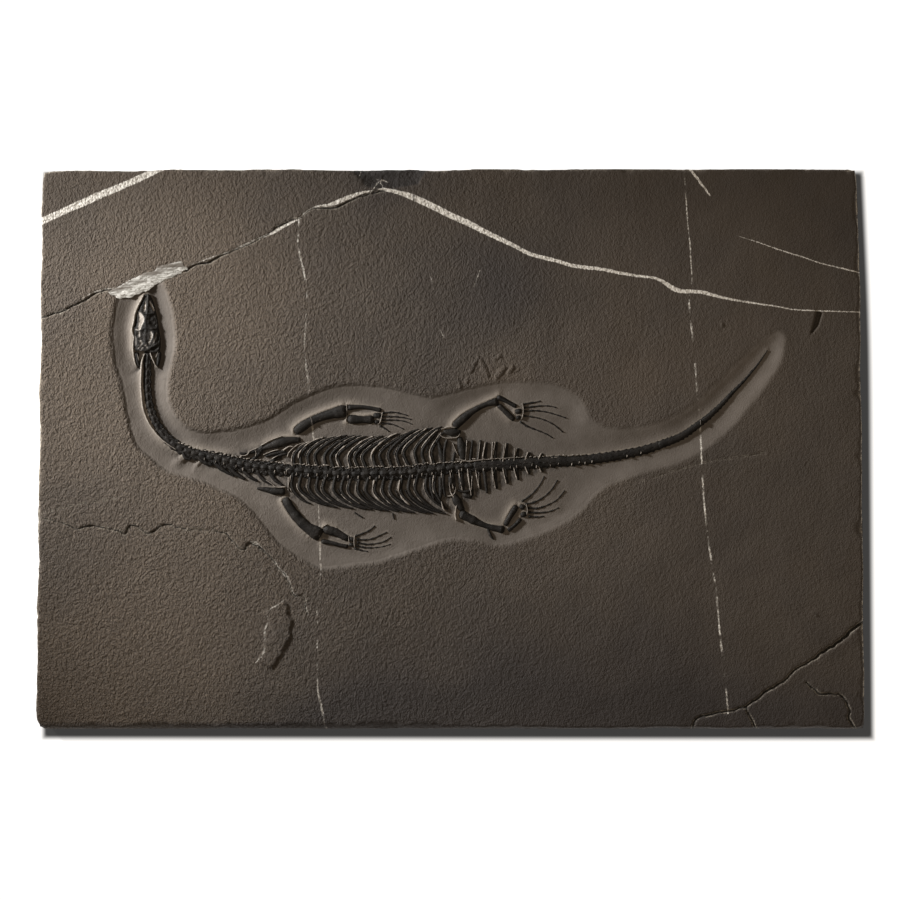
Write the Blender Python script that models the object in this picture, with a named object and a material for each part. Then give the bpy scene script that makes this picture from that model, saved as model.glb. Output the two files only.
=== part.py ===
"""A keichousaurus skeleton in its slab of black limestone.

Metres, +Z up. The slab lies flat with its underside at z = 0 and its middle on the origin,
the skull towards -X and the tip of the tail towards +X. Plans below are in millimetres,
seen from above: (x, y) for an outline, (x, y, half width) for a bone's route.
"""

import math

import bmesh
import bpy
from mathutils import Vector

MM = 0.001

SLAB_LENGTH = 315.0
SLAB_WIDTH = 213.0
SLAB_THICK = 18.0
ARRIS_DROP = 1.4  # how far the broken top edge falls below the top face
RECESS_DEPTH = 1.5  # the trough that the preparator cut round the bones
RECESS_SLOPE = 3.2  # how wide the side of the trough is in plan
TOUCH_GAP = 0.3
BONE_BASE = SLAB_THICK - RECESS_DEPTH + TOUCH_GAP
CRACK_WIDTH = 1.1
CRACK_DEPTH = 0.9
SEAM_THICK = 1.1
SEAM_PROUD = 0.3

FLAKE_THICK = 1.0
CHIP_THICK = 2.4
SLOT_DEPTH = 2.5

NECK_BONES = 25
TRUNK_BONES = 22
TAIL_BONES = 32
RIB_PAIRS = 19
RIB_HALF = 0.52
RIB_BENDS = 3
PROCESS_HALF = 0.75
# Ribs and processes start a hair above the underside of the chain that they join.
RIB_LIFT = 0.06
PROCESS_LIFT = 0.12
SPINE_EDGE = 2.4  # from the middle of the backbone to its side
FIRST_RIB_X = -60.6
RIB_PITCH = 3.17

# Plan of the slab. The long sides run nearly straight and the ends are broken by hand.
SLAB_OUTLINE = [
    (-157.5, -106.4), (-157.3, -92.0), (-156.6, -77.0), (-157.0, -60.0), (-156.2, -41.0),
    (-156.5, -19.0), (-155.6, 4.0), (-156.0, 22.0), (-155.1, 43.0), (-155.6, 60.0),
    (-154.7, 77.0), (-155.2, 92.0), (-154.4, 105.2), (-137.0, 105.6), (-121.0, 105.2),
    (-106.0, 106.3), (-84.0, 106.0), (-62.0, 106.4), (-41.0, 105.8), (-33.0, 105.2),
    (-24.0, 106.3), (-6.0, 105.4), (12.0, 106.4), (38.0, 106.0), (62.0, 106.5),
    (90.0, 106.1), (118.0, 106.4), (153.6, 106.2), (154.6, 84.0), (155.7, 57.0),
    (155.4, 30.0), (156.3, 4.0), (155.9, -20.0), (156.7, -45.0), (156.4, -66.0),
    (157.2, -88.0), (157.5, -106.3), (134.0, -106.0), (108.0, -106.5), (84.0, -105.8),
    (58.0, -106.4), (30.0, -106.0), (2.0, -106.5), (-28.0, -105.9), (-56.0, -106.4),
    (-84.0, -106.0), (-112.0, -106.5), (-136.0, -106.1),
]

RECESS_OUTLINE = [
    (-121.0, 63.5), (-125.6, 58.0), (-128.1, 49.0), (-128.3, 40.0), (-127.0, 31.0),
    (-124.8, 22.0), (-122.4, 11.0), (-118.9, 0.8), (-112.0, -5.5), (-100.0, -10.8),
    (-88.0, -15.2), (-77.0, -22.4), (-71.0, -29.4), (-63.5, -37.3), (-55.0, -42.6),
    (-46.0, -45.2), (-34.0, -44.0), (-20.9, -40.7), (-8.0, -36.6), (4.0, -35.2),
    (19.0, -36.8), (34.0, -33.4), (47.5, -25.6), (57.0, -16.6), (66.0, -11.9),
    (84.0, -6.2), (96.9, 0.4), (105.5, 7.4), (114.0, 17.0), (121.4, 27.0),
    (126.4, 36.0), (127.0, 42.5), (122.6, 45.2), (114.0, 37.6), (105.0, 28.6),
    (93.1, 18.0), (83.6, 12.6), (72.2, 9.6), (62.0, 10.6), (54.0, 14.5),
    (48.4, 20.2), (41.0, 24.2), (23.0, 27.0), (8.0, 24.0), (-8.0, 20.4),
    (-19.0, 22.4), (-32.0, 24.4), (-45.0, 23.6), (-57.0, 18.6), (-69.0, 11.8),
    (-80.0, 8.0), (-92.0, 7.0), (-100.0, 8.8), (-105.4, 15.0), (-107.0, 24.3),
    (-105.8, 33.0), (-104.3, 41.0), (-104.8, 50.0), (-107.2, 58.5), (-112.0, 64.0),
]

SEAM_OUTLINE = [
    (-131.0, 59.7), (-128.2, 60.6), (-123.4, 63.3), (-117.8, 66.3), (-112.0, 68.3),
    (-106.2, 70.6), (-101.6, 71.3), (-99.4, 68.6), (-104.6, 65.9), (-110.3, 63.5),
    (-114.2, 61.2), (-118.0, 59.4), (-121.8, 57.7), (-126.4, 57.6),
]

HEAD_CRACK = [(-160, 49.4), (-148, 52.3), (-140, 55.8), (-133, 59.0)]
TOP_CRACK = [
    (-98.5, 69.0), (-89, 72.8), (-79, 76.6), (-70, 81.2), (-62, 85.0), (-52, 90.6),
    (-46, 92.0), (-36, 95.0), (-25, 98.4),
]
LOW_CRACK = [
    (-160, -26.2), (-148, -27.8), (-142, -30.2), (-131, -30.1), (-122.5, -31.6),
    (-115, -31.3), (-106, -28.6), (-87, -31.2), (-79, -37.4), (-72, -37.8),
    (-66, -45.2), (-59.6, -56.2), (-54.6, -60.0),
]
CORNER_CRACK = [
    (160, -64.6), (147, -74.2), (138, -80.2), (127, -87.8), (116, -95.2),
    (105, -99.6), (95, -103.4), (92, -110),
]
FLAKE_OUTLINE = [
    (-69.6, -61.8), (-63.4, -57.6), (-60.4, -65.0), (-61.0, -72.4), (-65.4, -80.6),
    (-72.6, -80.8), (-70.2, -72.4),
]
CHIP_OUTLINE = [
    (-38.0, 110), (-37.0, 103.4), (-30.5, 99.6), (-22.0, 98.6), (-12.5, 101.4), (-4.0, 110),
]
SLOT_ROUTE = [(137.4, 43.8, 0.8), (139.0, 47.6, 1.0), (140.4, 52.2, 0.9)]

# The skull is drawn along its middle line; its openings are cut through it.
SKULL_ROUTE = [
    (-114.7, 58.9, 0.9), (-114.6, 57.6, 1.7), (-114.3, 55.2, 3.1), (-114.3, 52.0, 4.2),
    (-114.4, 49.0, 4.9), (-114.5, 46.0, 5.4), (-114.4, 42.0, 5.5), (-114.4, 38.6, 5.3),
    (-114.4, 37.0, 4.6),
]
OPENING_TALL = 8.0
SKULL_OPENINGS = {
    "left_orbit": [
        (-118.2, 51.4), (-116.9, 50.8), (-116.4, 49.4), (-117.0, 47.0), (-118.3, 46.2), (-118.7, 48.6),
    ],
    "right_orbit": [
        (-112.4, 50.8), (-111.2, 49.8), (-110.7, 47.8), (-111.4, 46.2), (-112.7, 46.8), (-113.2, 49.0),
    ],
    "left_temple": [(-118.2, 44.4), (-117.5, 43.6), (-117.4, 41.6), (-118.1, 40.4), (-118.6, 42.2)],
    "right_temple": [(-113.4, 44.6), (-112.6, 43.4), (-113.0, 41.4), (-114.0, 39.8), (-113.8, 42.4)],
    "left_nostril": [(-116.3, 55.0), (-115.6, 55.2), (-115.7, 53.0), (-116.4, 52.6)],
    "right_nostril": [(-114.1, 55.4), (-113.4, 54.6), (-112.8, 53.0), (-113.4, 53.0)],
}
JAWS = {
    "left_jaw": [(-119.0, 35.7, 0.8), (-118.9, 33.8, 0.75), (-118.5, 32.0, 0.5)],
    "right_jaw": [(-109.9, 35.7, 0.8), (-110.5, 33.8, 0.75), (-111.1, 32.0, 0.5)],
}

NECK_ROUTE = [
    (-114.9, 36.4, 1.4), (-115.2, 30.0, 1.5), (-115.3, 24.0, 1.6), (-114.7, 18.0, 1.7),
    (-113.2, 12.8, 1.7), (-110.8, 8.0, 1.8), (-107.4, 3.8, 1.9), (-103.0, 0.6, 2.0),
    (-98.0, -1.5, 2.1), (-93.0, -2.7, 2.3), (-87.0, -4.2, 2.5), (-80.0, -5.8, 2.6),
    (-72.0, -7.0, 2.6), (-63.1, -7.8, 2.6),
]
NECK_RIBS = [
    [(-101.6, -1.0, 0.8), (-100.6, -3.2, 0.9), (-98.9, -3.7, 0.6)],
    [(-96.2, -2.6, 0.8), (-94.0, -4.8, 0.8), (-90.6, -6.2, 0.5)],
    [(-90.0, -4.4, 0.8), (-87.0, -7.6, 0.9), (-82.4, -10.2, 0.5)],
    [(-84.6, -6.2, 0.8), (-81.4, -9.6, 0.9), (-78.4, -11.4, 0.6)],
    [(-79.0, -7.4, 0.8), (-76.6, -10.2, 0.9), (-73.6, -12.0, 0.6)],
    [(-73.6, -8.4, 0.8), (-71.2, -11.4, 0.9), (-68.4, -13.0, 0.6)],
    [(-68.6, -9.0, 0.8), (-66.4, -11.8, 0.9), (-63.9, -13.6, 0.6)],
    [(-76.0, -5.0, 0.8), (-74.0, -3.2, 0.8), (-72.6, -2.4, 0.5)],
    [(-69.0, -5.6, 0.8), (-66.6, -4.0, 0.8), (-64.4, -3.4, 0.5)],
]
TRUNK_ROUTE = [
    (-62.6, -7.9, 2.5), (-50.0, -8.9, 2.6), (-38.0, -9.5, 2.6), (-19.0, -9.1, 2.6),
    (-4.0, -7.7, 2.5), (9.0, -6.4, 2.4),
]
TAIL_ROUTE = [
    (9.6, -6.4, 2.3), (24.0, -5.7, 2.3), (38.0, -4.9, 2.2), (50.0, -4.3, 1.9),
    (61.0, -2.9, 1.6), (72.2, -0.8, 1.35), (80.0, 1.6, 1.2), (88.0, 4.9, 1.05),
    (95.5, 10.1, 0.95), (101.5, 15.2, 0.8), (106.4, 20.4, 0.65), (112.1, 26.3, 0.5),
    (116.9, 32.1, 0.42), (120.3, 37.2, 0.34),
]

# Ribs are drawn between stations: (rib number, how far the knee is from the backbone's
# edge along x and y, then the tip's place).
UPPER_RIBS = [
    (0, -0.6, 4.4, -55.6, 2.3), (2, 0.4, 6.4, -43.6, 5.2), (5, 0.2, 6.0, -36.6, 4.0),
    (8, -0.4, 6.2, -27.6, 4.7), (11, -0.6, 6.4, -20.2, 4.5), (14, -0.4, 6.8, -6.6, 9.0),
    (17, -0.2, 6.6, -3.0, 8.0), (18, -0.2, 5.0, -3.0, 3.2),
]
LOWER_RIBS = [
    (0, 1.2, -6.4, -53.0, -20.6), (2, 1.0, -7.6, -42.4, -22.0), (5, 0.8, -8.0, -33.4, -22.8),
    (8, 0.4, -8.2, -24.4, -23.5), (11, 0.0, -8.8, -17.4, -24.0), (14, -0.6, -9.2, -6.8, -24.3),
    (17, -0.4, -9.4, -1.4, -23.2), (18, -0.2, -6.0, -2.4, -17.4),
]

# Sacral and tail processes: place along x, then how far they reach up and down in plan.
TRUNK_PROCESSES = [(1.2, -1.6, -14.8), (4.6, -4.8, -15.6), (8.0, 3.0, -17.4)]
TAIL_PROCESSES = [
    (11.0, 3.0, -14.8), (13.4, 2.2, -16.4), (17.2, 2.4, -14.8), (21.3, 1.9, -12.8),
    (25.4, 0.0, -11.4), (29.6, -1.5, -9.2), (34.6, -2.0, -8.4),
]

GIRDLES = {
    "right_clavicle": [
        (-70.2, 0.4, 0.9), (-67.0, 1.5, 1.4), (-64.0, 2.5, 1.6), (-61.0, 3.2, 1.2),
        (-58.2, 3.4, 0.9),
    ],
    "right_scapula": [(-69.6, -2.6, 0.5), (-67.4, -1.9, 0.8), (-65.2, -1.4, 0.7), (-62.9, -0.9, 0.5)],
    "right_neck_plate": [
        (-76.4, -1.6, 0.5), (-75.0, -1.0, 0.7), (-73.2, -0.5, 0.9), (-71.9, -0.6, 0.8),
    ],
    "left_clavicle": [
        (-72.4, -15.2, 0.5), (-70.0, -15.4, 0.9), (-67.0, -16.0, 1.2), (-64.4, -16.2, 1.0),
    ],
    "right_ilium": [(-1.4, 6.5, 0.9), (0.2, 6.3, 1.4), (1.8, 6.3, 1.3), (3.1, 6.4, 0.8)],
    "right_ischium": [(4.0, 3.2, 1.0), (4.4, 0.8, 1.5), (5.0, -2.2, 1.0)],
    "left_ilium": [(1.4, -17.8, 0.9), (2.8, -20.0, 1.6), (4.2, -22.2, 1.0)],
}

FORE_LIMBS = {
    "right": {
        "humerus": [
            (-57.8, 7.2, 1.6), (-55.6, 8.9, 1.7), (-52.6, 10.7, 1.7), (-49.0, 12.2, 1.8),
            (-45.0, 13.4, 2.0), (-41.2, 14.3, 2.4),
        ],
        "radius": [(-37.8, 15.8, 1.0), (-34.0, 15.9, 0.9), (-30.4, 15.6, 0.85), (-27.0, 14.9, 0.85)],
        "ulna": [(-37.2, 11.4, 1.6), (-34.6, 11.2, 1.6), (-32.0, 11.2, 1.6), (-30.6, 11.2, 1.6)],
        "outer_wrist": [(-28.1, 12.7, 1.0), (-27.0, 12.6, 1.0)],
        "inner_wrist": [(-28.1, 10.3, 0.75), (-27.6, 10.2, 0.75)],
        "finger_1": [(-25.3, 13.7, 0.42), (-21.6, 14.0, 0.4), (-18.4, 13.4, 0.38), (-16.1, 12.7, 0.3)],
        "finger_2": [(-25.4, 12.3, 0.42), (-21.2, 12.3, 0.4), (-17.4, 11.9, 0.38), (-14.7, 11.2, 0.3)],
        "finger_3": [(-25.6, 11.0, 0.42), (-21.2, 11.0, 0.4), (-17.2, 10.5, 0.38), (-14.4, 9.4, 0.3)],
        "finger_4": [(-25.8, 9.8, 0.42), (-22.4, 9.5, 0.4), (-19.8, 8.6, 0.38), (-17.6, 7.5, 0.3)],
        "finger_5": [(-26.4, 8.7, 0.42), (-24.6, 7.7, 0.4), (-23.1, 6.6, 0.3)],
    },
    "left": {
        "humerus": [
            (-62.2, -20.0, 1.6), (-60.3, -23.2, 1.8), (-57.5, -26.7, 2.0), (-54.2, -29.8, 2.2),
            (-51.0, -31.8, 2.6),
        ],
        "ulna": [(-46.2, -30.8, 1.7), (-43.6, -31.6, 1.8), (-41.2, -32.9, 1.5), (-39.6, -33.7, 1.2)],
        "radius": [
            (-47.6, -35.2, 0.85), (-45.0, -35.7, 0.85), (-42.0, -36.5, 0.8), (-39.6, -37.0, 0.8),
        ],
        "outer_wrist": [(-37.6, -34.2, 0.75), (-37.1, -34.4, 0.75)],
        "inner_wrist": [(-37.7, -36.3, 0.7), (-37.2, -36.4, 0.7)],
        "finger_1": [
            (-35.6, -33.0, 0.42), (-33.0, -32.0, 0.4), (-30.8, -31.0, 0.38), (-28.6, -29.2, 0.3),
        ],
        "finger_2": [
            (-35.1, -34.3, 0.42), (-32.0, -34.5, 0.4), (-28.8, -33.8, 0.38), (-24.0, -31.6, 0.3),
        ],
        "finger_3": [
            (-35.0, -35.5, 0.42), (-32.0, -36.2, 0.4), (-28.6, -36.0, 0.38), (-25.2, -35.2, 0.35),
            (-22.4, -33.4, 0.3),
        ],
        "finger_4": [
            (-35.4, -36.7, 0.42), (-32.6, -37.4, 0.4), (-29.0, -37.5, 0.38), (-25.6, -37.1, 0.35),
            (-22.6, -36.2, 0.3),
        ],
        "finger_5": [(-36.0, -37.8, 0.42), (-33.8, -38.5, 0.4), (-31.2, -39.0, 0.3)],
    },
}
HIND_LIMBS = {
    "right": {
        "femur": [
            (2.6, 9.4, 1.5), (5.0, 11.6, 1.7), (8.0, 14.0, 1.25), (11.5, 16.0, 1.1),
            (14.6, 17.3, 1.15), (16.6, 17.7, 1.4),
        ],
        "tibia": [(18.9, 19.4, 0.95), (21.0, 18.4, 0.95), (23.0, 17.3, 0.9), (24.5, 16.5, 0.75)],
        "fibula": [(19.1, 16.1, 0.95), (20.8, 14.5, 1.05), (22.4, 12.9, 1.1), (23.6, 11.8, 0.95)],
        "outer_ankle": [(25.7, 14.3, 0.95), (26.4, 14.4, 0.95)],
        "inner_ankle": [(25.8, 11.9, 0.75), (26.3, 12.0, 0.75)],
        "toe_1": [(28.4, 17.1, 0.42), (30.5, 17.5, 0.4), (32.5, 17.8, 0.38), (34.4, 18.2, 0.3)],
        "toe_2": [
            (28.4, 15.7, 0.42), (31.4, 16.1, 0.4), (35.0, 16.4, 0.38), (38.0, 16.3, 0.35),
            (40.4, 15.7, 0.3),
        ],
        "toe_3": [
            (28.4, 14.3, 0.42), (32.0, 14.6, 0.4), (36.0, 14.2, 0.38), (40.2, 13.1, 0.35),
            (44.0, 11.8, 0.3),
        ],
        "toe_4": [
            (28.4, 12.6, 0.42), (32.0, 12.1, 0.4), (35.4, 11.2, 0.38), (39.2, 9.4, 0.35),
            (42.9, 6.4, 0.3),
        ],
        "toe_5": [
            (26.9, 10.2, 0.42), (29.6, 8.5, 0.4), (33.0, 7.2, 0.38), (36.6, 5.7, 0.35),
            (39.0, 4.2, 0.3),
        ],
    },
    "left": {
        "femur": [
            (5.2, -25.2, 1.7), (8.3, -26.8, 1.7), (11.5, -28.3, 1.25), (15.0, -29.6, 1.15),
            (19.2, -30.6, 1.4),
        ],
        "tibia": [(21.4, -28.1, 0.9), (22.7, -25.8, 1.1), (24.1, -23.6, 1.15), (24.8, -22.4, 1.0)],
        "fibula": [(22.9, -30.4, 0.8), (24.7, -28.9, 0.85), (26.3, -27.2, 0.8)],
        "outer_ankle": [(27.3, -21.9, 0.9), (27.7, -22.1, 0.9)],
        "inner_ankle": [(27.7, -25.0, 0.95), (28.2, -24.8, 0.95)],
        "toe_1": [
            (27.6, -19.7, 0.42), (30.0, -18.1, 0.4), (32.4, -15.8, 0.38), (34.4, -13.2, 0.35),
            (35.8, -10.4, 0.3),
        ],
        "toe_2": [
            (29.0, -20.9, 0.42), (32.0, -20.2, 0.4), (35.4, -18.4, 0.38), (38.6, -15.4, 0.35),
            (40.8, -11.8, 0.3),
        ],
        "toe_3": [
            (30.0, -22.4, 0.42), (33.2, -22.5, 0.4), (37.0, -21.3, 0.38), (40.6, -19.3, 0.35),
            (43.6, -15.8, 0.3),
        ],
        "toe_4": [(30.2, -24.1, 0.42), (34.0, -24.2, 0.4), (38.0, -23.7, 0.38), (41.4, -22.3, 0.3)],
        "toe_5": [(30.2, -25.7, 0.42), (33.0, -25.8, 0.4), (35.6, -25.6, 0.3)],
    },
}

# Sections of the bones, one unit wide each side of the middle, flat underneath.
SECTIONS = {
    "spine": [(-1, 0), (-0.82, 0.42), (-0.3, 0.74), (0.3, 0.74), (0.82, 0.42), (1, 0)],
    "small_spine": [(-1, 0), (-0.55, 0.72), (0.55, 0.72), (1, 0)],
    "long": [(-1, 0), (-0.86, 0.4), (-0.38, 0.76), (0.38, 0.76), (0.86, 0.4), (1, 0)],
    "small": [(-1, 0), (-0.65, 1.1), (0.65, 1.1), (1, 0)],
    "rib": [(-1, 0), (-0.62, 1.7), (0.62, 1.7), (1, 0)],
    "skull": [
        (-1, 0), (-0.95, 0.14), (-0.7, 0.27), (-0.3, 0.34),
        (0.3, 0.34), (0.7, 0.27), (0.95, 0.14), (1, 0),
    ],
}


def start_scene():
    for old in list(bpy.data.objects):
        bpy.data.objects.remove(old)
    groups = []
    for name, hidden in (("keichousaurus_fossil", False), ("cutters", True)):
        group = bpy.data.collections.new(name)
        group.hide_render = hidden
        bpy.context.scene.collection.children.link(group)
        groups.append(group)
    return groups


def make_material(name, colour, roughness):
    material = bpy.data.materials.new(name)
    material.use_nodes = True
    shader = material.node_tree.nodes["Principled BSDF"]
    shader.inputs["Base Color"].default_value = (*colour, 1)
    shader.inputs["Roughness"].default_value = roughness
    return material


def add_object(name, data, group, material=None):
    thing = bpy.data.objects.new(name, data)
    group.objects.link(thing)
    if material:
        data.materials.append(material)
    return thing


def hide(thing):
    thing.hide_render = True
    thing.display_type = "WIRE"
    return thing


def flat_outline(name, outline, middle, thick, group, grown=0.0):
    """A flat piece cut to an outline, its mid height at middle; grown widens it all round."""
    curve = bpy.data.curves.new(name, "CURVE")
    curve.dimensions = "2D"
    curve.fill_mode = "BOTH"
    curve.extrude = thick / 2 * MM
    curve.bevel_depth = grown * MM
    curve.bevel_resolution = 0
    spline = curve.splines.new("POLY")
    spline.points.add(len(outline) - 1)
    for point, (x, y) in zip(spline.points, outline):
        point.co = (x * MM, y * MM, 0, 1)
    spline.use_cyclic_u = True
    thing = add_object(name, curve, group)
    thing.location.z = middle * MM
    return thing


def section_object(name, shape, group):
    curve = bpy.data.curves.new(name, "CURVE")
    curve.dimensions = "2D"
    spline = curve.splines.new("POLY")
    spline.points.add(len(shape) - 1)
    for point, (x, y) in zip(spline.points, shape):
        point.co = (x * MM, y * MM, 0, 1)
    spline.use_cyclic_u = True
    return hide(add_object(name, curve, group))


def swept(name, route, section, base, group, material=None):
    """A section drawn along a level route of (x, y, half width)."""
    curve = bpy.data.curves.new(name, "CURVE")
    curve.dimensions = "3D"
    curve.twist_mode = "Z_UP"
    curve.bevel_mode = "OBJECT"
    curve.bevel_object = section
    curve.use_fill_caps = True
    spline = curve.splines.new("POLY")
    spline.points.add(len(route) - 1)
    for point, (x, y, half) in zip(spline.points, route):
        point.co = (x * MM, y * MM, base * MM, 1)
        point.radius = half
    return add_object(name, curve, group, material)


def as_mesh(thing):
    """The same object with its evaluated shape as a mesh, its loose caps welded."""
    graph = bpy.context.evaluated_depsgraph_get()
    mesh = bpy.data.meshes.new_from_object(thing.evaluated_get(graph))
    bm = bmesh.new()
    bm.from_mesh(mesh)
    bmesh.ops.remove_doubles(bm, verts=bm.verts, dist=0.001 * MM)
    bmesh.ops.recalc_face_normals(bm, faces=bm.faces)
    bm.to_mesh(mesh)
    bm.free()
    name, place = thing.name, thing.matrix_world.copy()
    group = thing.users_collection[0]
    bpy.data.objects.remove(thing)
    solid = bpy.data.objects.new(name, mesh)
    solid.matrix_world = place
    group.objects.link(solid)
    return solid


def boolean(thing, other, operation):
    modifier = thing.modifiers.new(other.name, "BOOLEAN")
    modifier.object = hide(other)
    modifier.operation = operation
    modifier.solver = "EXACT"


def route_point(route, distance):
    """The place and half width on a straight-sided route, a distance from its start."""
    for (x0, y0, h0), (x1, y1, h1) in zip(route, route[1:]):
        length = math.hypot(x1 - x0, y1 - y0)
        if distance <= length:
            share = distance / length
            return (x0 + (x1 - x0) * share, y0 + (y1 - y0) * share, h0 + (h1 - h0) * share)
        distance -= length
    return route[-1]


def route_at(route, x):
    """How far up the plan a route runs at x."""
    for (x0, y0, _), (x1, y1, _) in zip(route, route[1:]):
        if x <= x1:
            return y0 + (y1 - y0) * (x - x0) / (x1 - x0)
    return route[-1][1]


def smooth_route(route, steps=6):
    """A Catmull-Rom curve through a route's own points."""
    ends = [route[0], *route, route[-1]]
    points = []
    for a, b, c, d in zip(ends, ends[1:], ends[2:], ends[3:]):
        for step in range(steps):
            t = step / steps
            points.append(tuple(
                0.5 * (2 * q + (r - p) * t + (2 * p - 5 * q + 4 * r - s) * t * t
                       + (3 * q - p - 3 * r + s) * t ** 3)
                for p, q, r, s in zip(a, b, c, d)
            ))
    return [*points, route[-1]]


def beaded(route, count, waist=1.0):
    """A route read at two points a bone: wide at each joint and drawn in at each waist."""
    fine = smooth_route(route)
    length = sum(math.dist(p[:2], q[:2]) for p, q in zip(fine, fine[1:]))
    points = []
    for number in range(2 * count + 1):
        x, y, half = route_point(fine, length * number / (2 * count) * 0.99999)
        points.append((x, y, half * (waist if number % 2 else 1.0)))
    return points


def rounded(route, share=0.55):
    """The route with its two ends drawn in, so that the bone has round ends."""
    first, second = Vector(route[0][:2]), Vector(route[1][:2])
    last, before = Vector(route[-1][:2]), Vector(route[-2][:2])
    start = first + (first - second).normalized() * route[0][2] * share
    end = last + (last - before).normalized() * route[-1][2] * share
    return [(*start, route[0][2] * share), *route, (*end, route[-1][2] * share)]


def between_stations(stations, number):
    """A rib's values, read between the nearest stations before and after it."""
    for low, high in zip(stations, stations[1:]):
        if number <= high[0]:
            share = (number - low[0]) / (high[0] - low[0])
            return [a + (b - a) * share for a, b in zip(low[1:], high[1:])]
    return list(stations[-1][1:])


def rib_route(stations, number, side):
    """One rib, from inside the backbone out to its knee and back to its tip."""
    root_x = FIRST_RIB_X + number * RIB_PITCH
    spine_y = route_at(TRUNK_ROUTE, root_x)
    knee_dx, knee_dy, tip_x, tip_y = between_stations(stations, number)
    edge = spine_y + side * SPINE_EDGE
    root = Vector((root_x, spine_y + side * SPINE_EDGE / 2))
    shoulder = Vector((root_x - 0.7, edge + knee_dy * 0.5))
    knee = Vector((root_x + knee_dx + 1.2, edge + knee_dy))
    tip = Vector((tip_x, tip_y))
    bend = knee.lerp(tip, 0.45) + Vector((-0.2, side * 0.9))
    return [(*root, RIB_HALF), (*shoulder, RIB_HALF), (*knee, RIB_HALF),
            (*bend, RIB_HALF * 0.95), (*tip, RIB_HALF * 0.7)]


def ring_inwards(outline, share, wave):
    """A slab's outline drawn in towards its middle by share mm, with a wave along it."""
    ring = []
    for number, (x, y) in enumerate(outline):
        inward = share + wave * math.sin(number * 2.4) * math.cos(number * 0.9)
        pull = Vector((math.copysign(inward, -x), math.copysign(inward, -y)))
        near_end = abs(x) / (SLAB_LENGTH / 2) > abs(y) / (SLAB_WIDTH / 2)
        corner = abs(x) > SLAB_LENGTH / 2 - 5 and abs(y) > SLAB_WIDTH / 2 - 3
        if not corner:
            pull = Vector((pull.x, 0)) if near_end else Vector((0, pull.y))
        ring.append((x + pull.x, y + pull.y))
    return ring


def slab_body(group, material):
    """The slab before it is carved: rings of its broken sides, stacked from the underside up."""
    # Each level: its height, how far its ring is drawn in, and how much that varies.
    levels = [(0.0, 2.4, 0.8), (6.0, 1.2, 0.7), (12.5, 0.0, 0.0),
              (SLAB_THICK - ARRIS_DROP, 0.5, 0.3), (SLAB_THICK, 1.5, 0.8)]
    bm = bmesh.new()
    rings = []
    for height, share, wave in levels:
        ring = ring_inwards(SLAB_OUTLINE, share, wave)
        rings.append([bm.verts.new((x * MM, y * MM, height * MM)) for x, y in ring])
    count = len(SLAB_OUTLINE)
    for low, high in zip(rings, rings[1:]):
        for a in range(count):
            b = (a + 1) % count
            bm.faces.new((low[a], low[b], high[b], high[a]))
    bm.faces.new(rings[0])
    bm.faces.new(rings[-1])
    bmesh.ops.recalc_face_normals(bm, faces=bm.faces)
    mesh = bpy.data.meshes.new("matrix_slab")
    bm.to_mesh(mesh)
    bm.free()
    return add_object("matrix_slab", mesh, group, material)


def recess_cutter(group):
    """The trough: a tall prism of the outline whose underside is inset and pushed down."""
    above = 0.4
    reach = RECESS_DEPTH + above
    bm = bmesh.new()
    floor = bm.faces.new(
        [bm.verts.new((x * MM, y * MM, (SLAB_THICK + above) * MM)) for x, y in RECESS_OUTLINE]
    )
    extruded = bmesh.ops.extrude_face_region(bm, geom=[floor], use_keep_orig=True)
    lid = [item for item in extruded["geom"] if isinstance(item, bmesh.types.BMVert)]
    bmesh.ops.translate(bm, verts=lid, vec=(0, 0, 4 * MM))
    bmesh.ops.inset_region(bm, faces=[floor], thickness=RECESS_SLOPE * MM, use_even_offset=True)
    bmesh.ops.translate(bm, verts=floor.verts, vec=(0, 0, -reach * MM))
    bmesh.ops.recalc_face_normals(bm, faces=bm.faces)
    mesh = bpy.data.meshes.new("recess")
    bm.to_mesh(mesh)
    bm.free()
    return add_object("recess", mesh, group)


def carve_slab(slab, cutters):
    boolean(slab, recess_cutter(cutters), "DIFFERENCE")
    wedge_shape = [(-CRACK_WIDTH / 2, 0.3), (0, -CRACK_DEPTH), (CRACK_WIDTH / 2, 0.3)]
    wedge = section_object("crack_section", wedge_shape, cutters)
    cracks = {"head_crack": HEAD_CRACK, "top_crack": TOP_CRACK, "low_crack": LOW_CRACK,
              "corner_crack": CORNER_CRACK}
    for name, route in cracks.items():
        line = [(x, y, 1.0) for x, y in route]
        boolean(slab, as_mesh(swept(name, line, wedge, SLAB_THICK, cutters)), "DIFFERENCE")
    pocket_thick = SEAM_THICK + 2.0
    pocket_middle = SLAB_THICK + SEAM_PROUD - SEAM_THICK + pocket_thick / 2
    pocket = flat_outline("seam_pocket", SEAM_OUTLINE, pocket_middle, pocket_thick, cutters,
                          grown=TOUCH_GAP)
    boolean(slab, as_mesh(pocket), "DIFFERENCE")
    chip = as_mesh(flat_outline("edge_chip", CHIP_OUTLINE, SLAB_THICK, CHIP_THICK, cutters))
    boolean(slab, chip, "DIFFERENCE")
    slot_shape = [(-1, -SLOT_DEPTH), (1, -SLOT_DEPTH), (1, 1), (-1, 1)]
    slot_section = section_object("slot_section", slot_shape, cutters)
    slot = as_mesh(swept("slot", SLOT_ROUTE, slot_section, SLAB_THICK, cutters))
    boolean(slab, slot, "DIFFERENCE")
    flake = as_mesh(flat_outline("flake", FLAKE_OUTLINE, SLAB_THICK, FLAKE_THICK, cutters))
    boolean(slab, flake, "UNION")


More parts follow.
